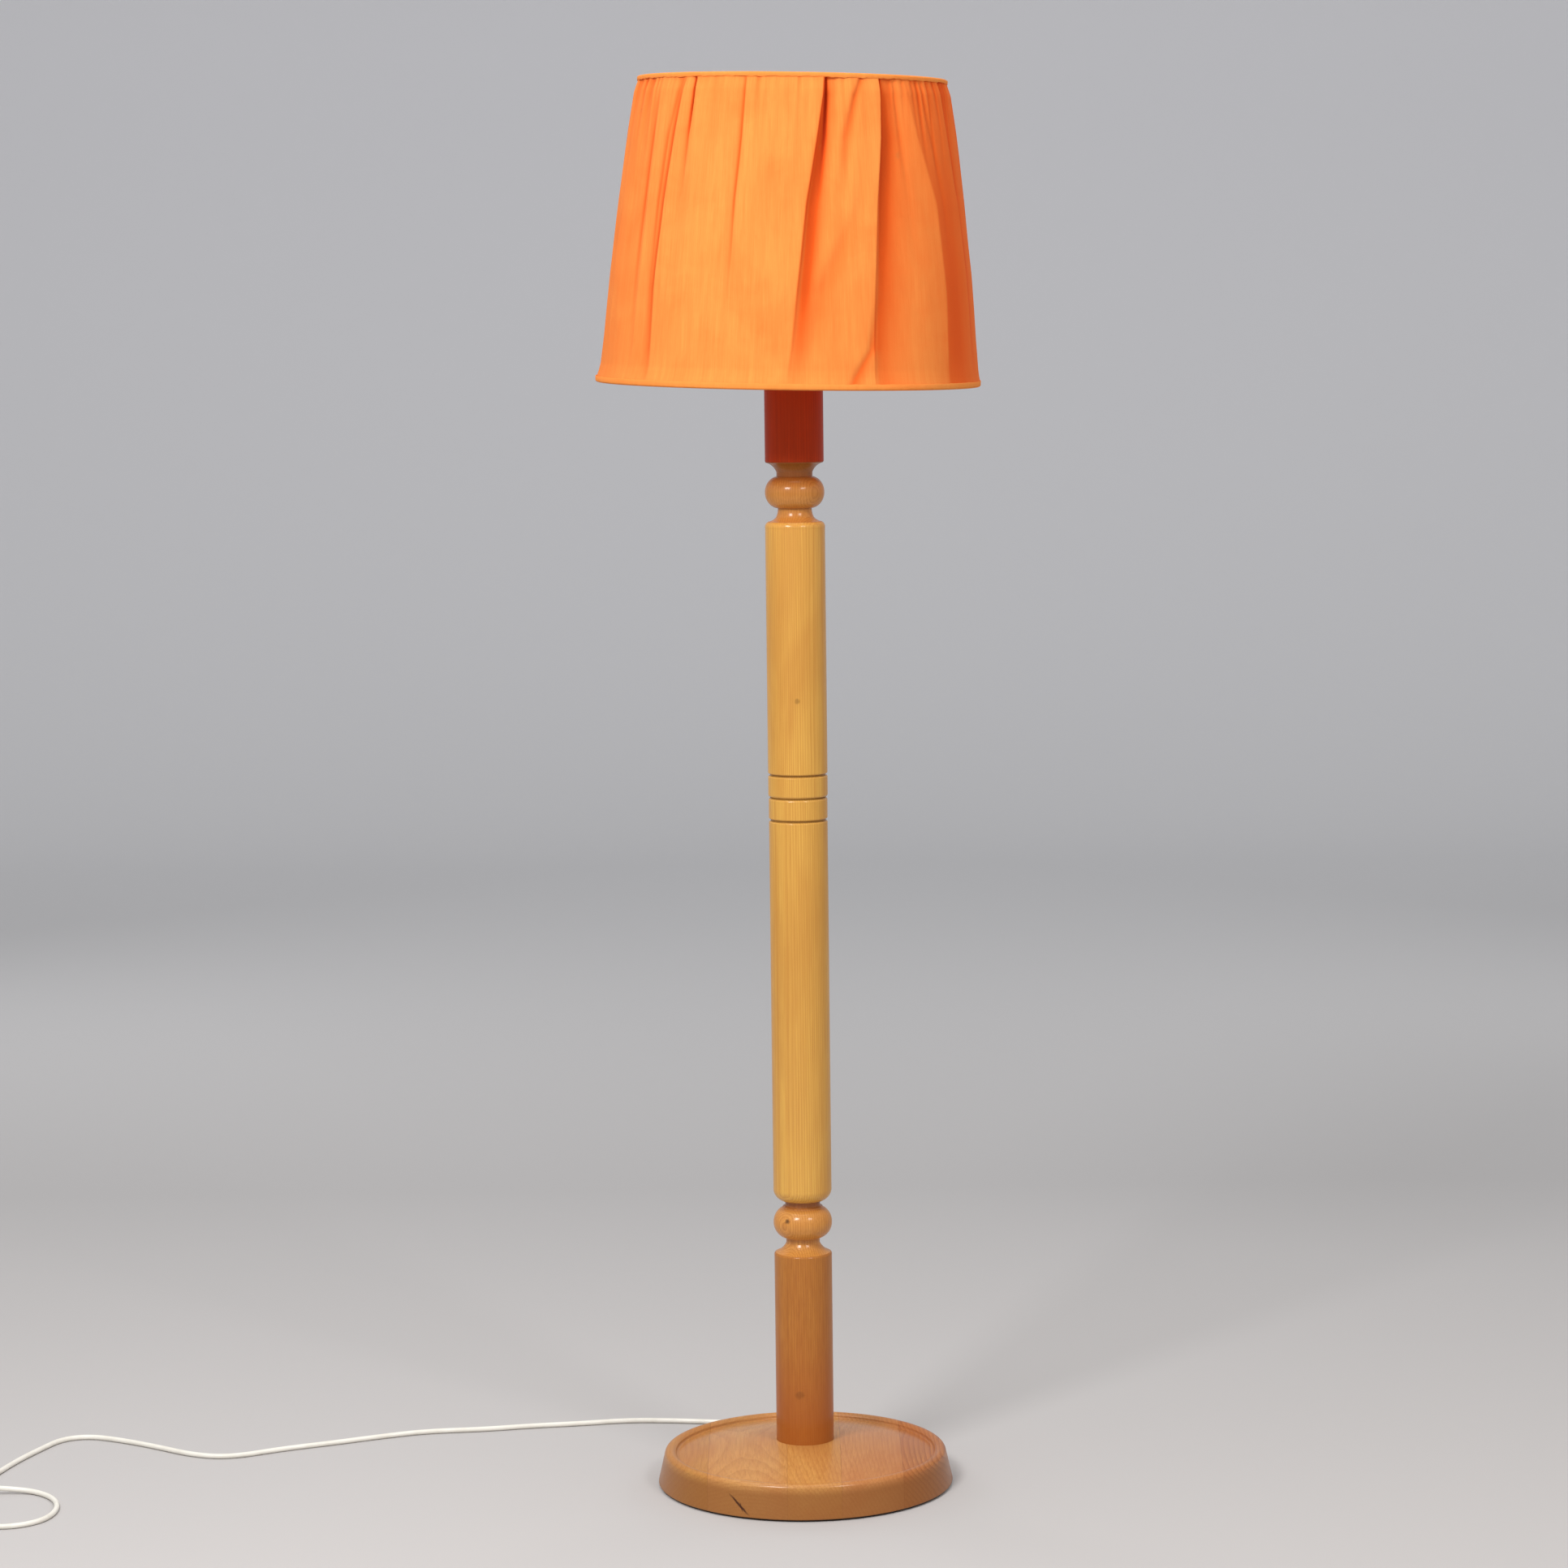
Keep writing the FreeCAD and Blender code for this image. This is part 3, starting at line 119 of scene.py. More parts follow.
class Finish:
    """One material and the few kinds of node that the finishes are made of."""

    def __init__(self, name, **sockets):
        self.material = bpy.data.materials.new(name)
        self.material.use_nodes = True
        self.tree = self.material.node_tree
        self.shader = self.tree.nodes["Principled BSDF"]
        for socket, value in sockets.items():
            self.feed(self.shader.inputs[socket.replace("_", " ")], value)

    def feed(self, socket, value):
        if isinstance(value, bpy.types.NodeSocket):
            self.tree.links.new(value, socket)
        else:
            socket.default_value = value

    def node(self, kind, inputs=None, **settings):
        node = self.tree.nodes.new("ShaderNode" + kind)
        for key, value in settings.items():
            setattr(node, key, value)
        for key, value in (inputs or {}).items():
            self.feed(node.inputs[key], value)
        return node

    def coordinates(self, scale=(1, 1, 1), offset=(0, 0, 0), turn=(0, 0, 0), source="Object"):
        place = self.node("TexCoord").outputs[source]
        return self.node("Mapping", {"Vector": place, "Scale": scale, "Location": offset,
                                     "Rotation": turn}).outputs["Vector"]

    def noise(self, vector, scale=1.0, detail=3.0, roughness=0.5, distortion=0.0):
        return self.node("TexNoise", {"Vector": vector, "Scale": scale, "Detail": detail,
                                      "Roughness": roughness,
                                      "Distortion": distortion}).outputs["Fac"]

    def ramp(self, value, stops):
        node = self.node("ValToRGB", {"Fac": value})
        elements = node.color_ramp.elements
        while len(elements) < len(stops):
            elements.new(0.5)
        for element, (place, colour) in zip(elements, stops):
            element.position = place
            element.color = colour if hasattr(colour, "__len__") else (colour,) * 3 + (1.0,)
        return node.outputs["Color"]

    def mix(self, share, first, second, blend="MIX"):
        node = self.node("Mix", data_type="RGBA", blend_type=blend)
        for socket, value in zip((0, 6, 7), (share, first, second)):
            self.feed(node.inputs[socket], value)
        return node.outputs[2]

    def math(self, operation, first, second=0.0, clamp=False):
        return self.node("Math", {0: first, 1: second}, operation=operation,
                         use_clamp=clamp).outputs[0]

    def bump(self, height, strength, distance, normal=None):
        inputs = {"Height": height, "Strength": strength, "Distance": distance}
        if normal is not None:
            inputs["Normal"] = normal
        return self.node("Bump", inputs).outputs["Normal"]

    def near(self, place, reach, stretch=(1, 1, 1), turn=(0, 0, 0), wobble=0.0):
        """1 at a place, in metres, falling to 0 at reach; stretch above 1 narrows it that way."""
        vector = self.coordinates((1, 1, 1), tuple(-p for p in place))
        if wobble:
            grain = self.node("TexNoise", {"Vector": self.coordinates(), "Scale": 1.2 / reach,
                                           "Detail": 4.0, "Roughness": 0.7}).outputs["Color"]
            shift = self.node("VectorMath", {0: grain, 1: (0.5, 0.5, 0.5)},
                              operation="SUBTRACT").outputs[0]
            shift = self.node("VectorMath", {0: shift, 1: (wobble,) * 3},
                              operation="MULTIPLY").outputs[0]
            vector = self.node("VectorMath", {0: vector, 1: shift}, operation="ADD").outputs[0]
        vector = self.node("Mapping", {"Vector": vector, "Rotation": turn}).outputs["Vector"]
        scale = tuple(s / reach for s in stretch)
        vector = self.node("VectorMath", {0: vector, 1: scale}, operation="MULTIPLY").outputs[0]
        distance = self.node("VectorMath", {0: vector}, operation="LENGTH").outputs["Value"]
        return self.math("SUBTRACT", 1.0, distance, clamp=True)

    def ease(self, value, start, end):
        """0 where value is at start, 1 at end, and smooth between."""
        return self.node("MapRange", {"Value": value, "From Min": start, "From Max": end},
                         interpolation_type="SMOOTHSTEP").outputs[0]


def pine(name, early, late, deep, pith, ring=2.6, axis="Z", marks=(), contrast=0.55, boards=(),
         fibre=(900.0, 14.0), drift=None, gloss=0.5, polish=0.15, wall=None, dark_joints_and_groove_shade=()):
    """Varnished pine: growth rings about a pith line, fibres along it, patches, and where asked:

    boards (edge, shift of the rings, early and late tone, extra contrast) each from its edge onward,
    a drift of tone with height, a different tone on the outer wall, darkened height bands (a dark joint
    line, or painted shade in a groove), and dark marks.
    """
    wood = Finish(name, Roughness=0.45, Coat_Weight=gloss, Coat_Roughness=polish, Coat_IOR=1.5)
    wood.shader.inputs["Specular IOR Level"].default_value = 0.15
    along = "XYZ".index(axis)
    period = math.tau / 20
    ring_scale = [period / (ring * MM)] * 3
    ring_scale[along] *= 0.035
    vector = wood.coordinates(ring_scale, [p * s for p, s in zip(pith, ring_scale)])
    fibre_scale = [fibre[0]] * 3
    fibre_scale[along] = fibre[1]
    patch_scale = [16.0] * 3
    patch_scale[along] = 4.0
    place = wood.node("SeparateXYZ", {0: wood.coordinates()}).outputs
    share, seams = contrast, []
    for edge, shift, board_early, board_late, stronger in boards:
        beyond = wood.math("GREATER_THAN", place["X"], edge)
        jump = wood.node("CombineXYZ", {"X": wood.math("MULTIPLY", beyond, shift[0] * ring_scale[0]),
                                        "Z": wood.math("MULTIPLY", beyond, shift[1] * ring_scale[2])})
        vector = wood.node("VectorMath", {0: vector, 1: jump.outputs[0]}, operation="ADD").outputs[0]
        early = wood.mix(beyond, early, board_early)
        late = wood.mix(beyond, late, board_late)
        aside = wood.math("ABSOLUTE", wood.math("SUBTRACT", place["X"], edge))
        seams.append(wood.math("MULTIPLY", wood.ease(aside, 0.6 * MM, 0.1 * MM), 0.28))
        share = wood.math("ADD", share, wood.math("MULTIPLY", beyond, stronger))
    rings = wood.node("TexWave", {"Vector": vector, "Scale": 1.0, "Distortion": 6.0, "Detail": 3.0,
                                  "Detail Scale": 0.30, "Detail Roughness": 0.6},
                      wave_type="RINGS", rings_direction=axis, wave_profile="SAW").outputs["Fac"]
    late_share = wood.ramp(rings, [(0.0, 0.0), (0.40, 0.10), (0.78, 0.70), (0.93, 1.0), (1.0, 0.0)])
    fibres = wood.noise(wood.coordinates(fibre_scale), 1.0, 3.0, 0.65)
    patches = wood.noise(wood.coordinates(patch_scale), 1.0, 3.0, 0.55, 0.6)
    colour = wood.mix(wood.math("MULTIPLY", late_share, share), early, late)
    colour = wood.mix(wood.ramp(fibres, [(0.30, 0.50), (0.60, 0.0)]), colour, late)
    colour = wood.mix(wood.ramp(patches, [(0.36, 0.0), (0.70, 0.60)]), colour, deep)
    for seam in seams:
        colour = wood.mix(seam, colour, linear("5E3010"))
    if drift:
        low, high, towards, most = drift
        colour = wood.mix(wood.math("MULTIPLY", wood.ease(place["Z"], low, high), most), colour, towards)
    if wall:
        radius = wood.math("POWER", wood.math("ADD", wood.math("POWER", place["X"], 2.0),
                                              wood.math("POWER", place["Y"], 2.0)), 0.5)
        outside = wood.ease(radius, wall[0], wall[1])
        colour = wood.mix(wood.math("MULTIPLY", outside, wall[2]), colour, wall[3])
    # darken each listed band of height: a dark joint line, or painted shade in a groove
    for low, high, dark in dark_joints_and_groove_shade:
        inside = wood.math("MULTIPLY", wood.ease(place["Z"], low, low + 0.6 * MM),
                           wood.ease(place["Z"], high, high - 0.6 * MM))
        colour = wood.mix(wood.math("MULTIPLY", inside, dark), colour, linear("4E2206"))
    for spot, reach, stretch, turn, wobble, dark in marks:
        near = wood.near(spot, reach, stretch, turn, wobble)
        colour = wood.mix(wood.ramp(near, [(0.05, 0.0), (0.55, dark)]), colour, linear("3E1A06"))
    wood.feed(wood.shader.inputs["Base Color"], colour)
    grain = wood.math("ADD", wood.math("MULTIPLY", late_share, 0.4), fibres)
    wood.feed(wood.shader.inputs["Normal"], wood.bump(grain, 0.12, 0.0004))
    wavy = wood.noise(wood.coordinates((22, 22, 22)), 1.0, 2.0)
    wood.feed(wood.shader.inputs["Coat Normal"], wood.bump(wavy, 0.08, 0.0012))
    return wood.material


def cloth(name, colour, deep, painted_shade_darkest, with_painted_shade=True):
    """Thin orange plain weave that lets light through, with upright slubs, and where asked, painted shade
    in its creases and on its shaded side.
    """
    finish = Finish(name, Roughness=0.85, Sheen_Weight=0.03, Sheen_Roughness=0.5)
    finish.shader.inputs["Sheen Tint"].default_value = linear("FFD9A8")
    finish.shader.inputs["Specular IOR Level"].default_value = 0.2
    threads = 2000.0
    warp = finish.node("TexWave", {"Vector": finish.coordinates((threads, 0, 0), source="UV"),
                                   "Scale": 1 / 20 * math.tau}, bands_direction="X").outputs["Fac"]
    weft = finish.node("TexWave", {"Vector": finish.coordinates((0, threads, 0), source="UV"),
                                   "Scale": 1 / 20 * math.tau}, bands_direction="Y").outputs["Fac"]
    weave = finish.math("MULTIPLY", warp, weft)
    slubs = finish.noise(finish.coordinates((1100, 24, 1), source="UV"), 1.0, 3.0, 0.7)
    bands = finish.noise(finish.coordinates((160, 9, 1), source="UV"), 1.0, 3.0, 0.6)
    patches = finish.noise(finish.coordinates((13, 13, 1), source="UV"), 1.0, 4.0, 0.6, 0.5)
    body = finish.mix(finish.ramp(slubs, [(0.36, 0.22), (0.60, 0.0)]), colour, deep)
    body = finish.mix(finish.ramp(bands, [(0.40, 0.14), (0.62, 0.0)]), body, deep)
    body = finish.mix(finish.ramp(patches, [(0.42, 0.0), (0.75, 0.30)]), body, deep)
    if with_painted_shade:
        # painted shade: creases, lap edges and the side away from the key light darken towards the deep and
        # darkest tones
        painted_shade = finish.node("Attribute", attribute_name="painted_shade").outputs["Fac"]
        body = finish.mix(finish.ramp(painted_shade, [(0.0, 0.0), (0.5, 1.0)]), body, deep)
        body = finish.mix(finish.ramp(painted_shade, [(0.45, 0.0), (1.0, 1.0)]), body, painted_shade_darkest)
        flecks = finish.noise(finish.coordinates((55, 48, 1), source="UV"), 1.0, 2.0, 0.5)
        body = finish.mix(finish.ramp(flecks, [(0.72, 0.0), (0.80, 0.40)]), body, linear("D8803C"))
    finish.feed(finish.shader.inputs["Base Color"], body)
    relief = finish.math("ADD", finish.math("MULTIPLY", weave, 0.5), slubs)
    normal = finish.bump(relief, 0.30, 0.0003)
    finish.feed(finish.shader.inputs["Normal"], normal)
    through = finish.node("BsdfTranslucent", {"Color": finish.mix(0.6, body, deep), "Normal": normal})
    share = finish.node("MixShader", {0: 0.30, 1: finish.shader.outputs[0], 2: through.outputs[0]})
    output = finish.tree.nodes["Material Output"]
    finish.feed(output.inputs["Surface"], share.outputs[0])
    return finish.material


def brushed(name, colour, roughness, metallic=1.0, grain=0.15):
    """Metal with fine turning marks and slight tarnish."""
    metal = Finish(name, Metallic=metallic)
    marks = metal.noise(metal.coordinates((60, 60, 2600)), 1.0, 2.0, 0.6)
    tarnish = metal.noise(metal.coordinates((70, 70, 70)), 1.0, 4.0, 0.6)
    darker = tuple(c * 0.62 for c in colour[:3]) + (1.0,)
    shade = metal.mix(metal.ramp(tarnish, [(0.42, 0.0), (0.70, 0.6)]), colour, darker)
    metal.feed(metal.shader.inputs["Base Color"], shade)
    rough = metal.math("ADD", metal.math("MULTIPLY", tarnish, 0.25), roughness)
    metal.feed(metal.shader.inputs["Roughness"], rough)
    metal.feed(metal.shader.inputs["Normal"], metal.bump(marks, grain, 0.0002))
    return metal.material


def cast_iron():
    iron = Finish("cast_iron", Metallic=0.6)
    pits = iron.noise(iron.coordinates((420, 420, 420)), 1.0, 4.0, 0.7)
    rust = iron.noise(iron.coordinates((34, 34, 34)), 1.0, 4.0, 0.6)
    colour = iron.mix(iron.ramp(rust, [(0.5, 0.0), (0.72, 0.6)]), linear("3A3A3C"), linear("5B3A26"))
    iron.feed(iron.shader.inputs["Base Color"], colour)
    iron.feed(iron.shader.inputs["Roughness"], iron.math("ADD", iron.math("MULTIPLY", pits, 0.3), 0.5))
    iron.feed(iron.shader.inputs["Normal"], iron.bump(pits, 0.5, 0.0006))
    return iron.material


def felt():
    wool = Finish("felt", Roughness=0.95, Sheen_Weight=0.4)
    fuzz = wool.noise(wool.coordinates((1400, 1400, 1400)), 1.0, 4.0, 0.8)
    colour = wool.mix(wool.ramp(fuzz, [(0.3, 0.0), (0.7, 1.0)]), linear("1F1C19"), linear("3B3630"))
    wool.feed(wool.shader.inputs["Base Color"], colour)
    wool.feed(wool.shader.inputs["Normal"], wool.bump(fuzz, 0.6, 0.0005))
    return wool.material


def moulded(name, colour, dirt, roughness=0.38, gloss=0.0):
    """Moulded plastic, rubber or glazed ware with faint soiling."""
    plastic = Finish(name, Coat_Weight=gloss, Coat_Roughness=0.08)
    cloud = plastic.noise(plastic.coordinates((38, 38, 38)), 1.0, 4.0, 0.6)
    skin = plastic.noise(plastic.coordinates((2600, 2600, 2600)), 1.0, 2.0, 0.5)
    shade = plastic.mix(plastic.ramp(cloud, [(0.45, 0.0), (0.75, 0.55)]), colour, dirt)
    plastic.feed(plastic.shader.inputs["Base Color"], shade)
    rough = plastic.math("ADD", plastic.math("MULTIPLY", cloud, 0.18), roughness - 0.09)
    plastic.feed(plastic.shader.inputs["Roughness"], rough)
    plastic.feed(plastic.shader.inputs["Normal"], plastic.bump(skin, 0.10, 0.0001))
    return plastic.material


def frosted_glass():
    glass = Finish("frosted_glass", Roughness=0.35, IOR=1.45, Transmission_Weight=0.35)
    cloud = glass.noise(glass.coordinates((60, 60, 60)), 1.0, 3.0)
    colour = glass.mix(glass.ramp(cloud, [(0.3, 0.0), (0.8, 1.0)]), linear("F4F2EC"), linear("E6E2D8"))
    glass.feed(glass.shader.inputs["Base Color"], colour)
    return glass.material


def plain_stage():
    """Pale seamless paper whose painted tone stands in for the fall of light: darkest on the floor behind
    the lamp and palest on the wall.
    """
    paper = Finish("stage_paper", Roughness=0.9)
    place = paper.node("SeparateXYZ", {0: paper.coordinates()}).outputs
    along = paper.math("ADD", place["Y"], place["Z"])
    share = paper.math("MULTIPLY", paper.math("ADD", along, 1.0), 0.08)
    # painted light and shade: the paper's tones step from the front floor through the shaded floor behind
    # the lamp to the pale wall
    near_floor, painted_shade_floor, bend, wall = (linear(code) for code in ("BCB8B6", "AEACAC", "DCDCDE", "F0F0F4"))
    colour = paper.ramp(share, [(0.05, near_floor), (0.20, painted_shade_floor), (0.50, bend), (0.80, wall)])
    paper.feed(paper.shader.inputs["Base Color"], colour)
    paper.shader.inputs["Specular IOR Level"].default_value = 0.1
    return paper.material


def dress_nodes():
    """Give every CAD node that stays in sight its own finish."""
    shaft_tones = (linear("DCAA50"), linear("BC7C34"), linear("B87A34"))
    low_tones = (linear("B87832"), linear("8E4E1A"), linear("9C5420"))
    # painted light and shade: the top section's dark red stands in for the lampshade's shadow and the
    # orange light through it
    top_painted_light_tones = (linear("BC3C08"), linear("902A04"), linear("A83C0C"))
    bead_tones = (linear("D49448"), linear("A8642A"), linear("B46E24"))
    base_tones = (linear("BE8844"), linear("96642A"), linear("A8602C"))
    boards = [(-0.100, (0.021, 0.013), linear("C68E50"), linear("A06834"), 0.0),
              (-0.019, (0.034, -0.019), linear("C88F4C"), linear("A0642E"), 0.02),
              (0.036, (0.018, 0.031), linear("C88C52"), linear("9C6030"), 0.0),
              # the fourth board is darker and redder than the others, partly its own tone and partly
              # painted shade on the base's right side, away from the key light
              (0.099, (-0.047, 0.024), linear("B87840"), linear("7C4018"), 0.45)]
    crack = [((-0.0680, -0.1345, 0.0140), 0.0175, (1.0, 0.6, 11.0), (0, -0.76, 0), 0.0028, 0.95),
             ((-0.0655, -0.1350, 0.0115), 0.0060, (1.0, 0.6, 5.0), (0, -1.25, 0), 0.0020, 0.75)]
    # painted shade in the two grooves beside the joint, and the joint's own dark line
    groove = 1.5 * MM
    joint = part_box("upper_shaft")[0].z
    band = 23.2 * MM
    lower_groove_shade, upper_groove_shade = [(z - groove, z + groove, 0.40) for z in (joint - band, joint + band)]
    joint_stain = (joint - groove, joint + groove, 0.42)
    finishes = {
        "base_felt": felt(),
        "base_disc": pine("pine_base", *base_tones, pith=(0.03, 0.0, 0.055), ring=3.6, axis="Y",
                          marks=crack, contrast=0.32, boards=boards, fibre=(620.0, 16.0),
                          gloss=0.4, polish=0.18, wall=(0.1452, 0.1475, 0.74, linear("885222"))),
        "bottom_section": pine("pine_bottom", *low_tones, pith=(0.052, 0.046, 0.3), ring=2.3,
                               contrast=0.40, fibre=(800.0, 42.0), gloss=0.35,
                               drift=(0.20, 0.05, linear("A4551C"), 0.65),
                               marks=[((-0.005, -0.029, 0.098), 0.006, (1, 1, 1.2), (0, 0, 0),
                                       0.006, 0.30)]),
        "lower_shaft": pine("pine_lower_shaft", *shaft_tones, pith=(0.045, 0.052, 0.1), ring=2.4,
                            dark_joints_and_groove_shade=[lower_groove_shade, joint_stain]),
        "upper_shaft": pine("pine_upper_shaft", *shaft_tones, pith=(-0.056, 0.050, 0.7), ring=2.2,
                            dark_joints_and_groove_shade=[upper_groove_shade, joint_stain],
                            marks=[((0.0, -0.030, 0.815), 0.0035, (1, 1, 1), (0, 0, 0), 0.003, 0.35)]),
        # painted light and shade under the lampshade
        "top_section": pine("pine_top_painted_light", *top_painted_light_tones, pith=(0.05, 0.04, 0.2), ring=2.8, contrast=0.3,
                            gloss=0.06),
        # painted shade: the lower bead darkens towards its top neck, under the lower shaft
        "lower_bead": pine("pine_lower_bead", *bead_tones, pith=(0.030, 0.034, 0.1), ring=2.6,
                           drift=(0.286, 0.293, linear("8A4418"), 0.7),
                           marks=[((-0.017, -0.026, 0.280), 0.0042, (1, 1, 1), (0, 0, 0), 0.003, 0.8),
                                  ((0.018, -0.026, 0.266), 0.0036, (1, 1, 1), (0, 0, 0), 0.003, 0.7)]),
        # painted shade: the upper bead darkens and reddens towards its top neck, under the top section and
        # the lampshade
        "upper_bead": pine("pine_upper_bead", *bead_tones, pith=(-0.03, 0.032, 0.5), ring=2.5,
                           drift=(1.028, 1.044, linear("94501C"), 0.75)),
        "base_weight": cast_iron(),
        "centre_contact": brushed("contact_brass", linear("D8B060"), 0.25),
        "holder_insert": moulded("porcelain", linear("EFEDE6"), linear("D8D2C4"), 0.2, 0.8),
        "switch_key": moulded("black_key", linear("1A1715"), linear("2B2622"), 0.3, 0.3),
        "bulb_glass": frosted_glass(),
        "bulb_cap": brushed("cap_metal", linear("C9CACC"), 0.22),
        "shade_spider": moulded("white_lacquer", linear("E9E6DE"), linear("CFC8B8"), 0.35, 0.3),
        "cord_grommet": moulded("grommet_plastic", linear("E4E0D4"), linear("C9C2B0"), 0.45),
        "plug_body": moulded("plug_plastic", linear("EAE7DE"), linear("D2CCBC"), 0.33, 0.25),
        "plug_pins": brushed("nickel", linear("C8C6C0"), 0.18),
    }
    zinc = brushed("zinc_steel", linear("B9BABB"), 0.30)
    brass = brushed("holder_brass", linear("C79A4A"), 0.28)
    same = {
        zinc: ["weight_screws", "base_washer", "base_nut", "threaded_tube", "top_washer",
               "top_nut", "clamp_screws"],
        brass: ["holder_cap", "holder_body", "shade_ring_nut", "switch_bush"],
        finishes["centre_contact"]: ["terminal_screws", "screw_shell", "bulb_tip"],
        finishes["shade_spider"]: ["shade_top_ring", "shade_bottom_ring", "shade_ribs"],
        finishes["cord_grommet"]: ["cord_clamp"],
    }
    for material, names in same.items():
        for name in names:
            finishes[name] = material
    finishes["inner_cord"] = cord_material
    for name, material in finishes.items():
        for k in range(len(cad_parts[name].data.materials)):
            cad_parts[name].data.materials[k] = material


# ---- meshes --------------------------------------------------------------------
def new_piece(name, points, faces, material, body, uv=None):
    """A mesh piece that rides on a body; uv holds one pair per vertex."""
    mesh = bpy.data.meshes.new(name)
    mesh.from_pydata([tuple(p) for p in points], [], faces)
    mesh.polygons.foreach_set("use_smooth", [True] * len(mesh.polygons))
    if uv is not None:
        layer = mesh.uv_layers.new(name="cloth")
        corners = np.zeros(len(mesh.loops), np.int32)
        mesh.loops.foreach_get("vertex_index", corners)
        layer.data.foreach_set("uv", np.asarray(uv, np.float32)[corners].ravel())
    mesh.materials.append(material)
    mesh.update()
    piece = bpy.data.objects.new(name, mesh)
    bpy.context.scene.collection.objects.link(piece)
    if body:
        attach(piece, body)
    return piece


def ring_faces(rows, columns):
    """Quads of a grid that closes on itself both along its columns and along its rows."""
    r = np.arange(rows)[:, None]
    c = np.arange(columns)[None, :]
    below, above = r * columns, ((r + 1) % rows) * columns
    onward = (c + 1) % columns
    quads = np.stack([below + c, below + onward, above + onward, above + c], axis=-1)
    return quads.reshape(-1, 4).tolist()


# ---- the shade -------------------------------------------------------------------
def lean_matrix():
    pivot = Vector((0, 0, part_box("shade_spider")[0].z))
    lean = (Matrix.Rotation(math.radians(SHADE_TILT_SIDE), 4, "Y")
            @ Matrix.Rotation(math.radians(SHADE_TILT_FRONT), 4, "X"))
    return (Matrix.Translation(Vector((SHADE_SHIFT, 0, 0)) + pivot) @ lean
            @ Matrix.Translation(-pivot))


def leaned(points):
    matrix = np.array(lean_matrix())
    return points @ matrix[:3, :3].T + matrix[:3, 3]


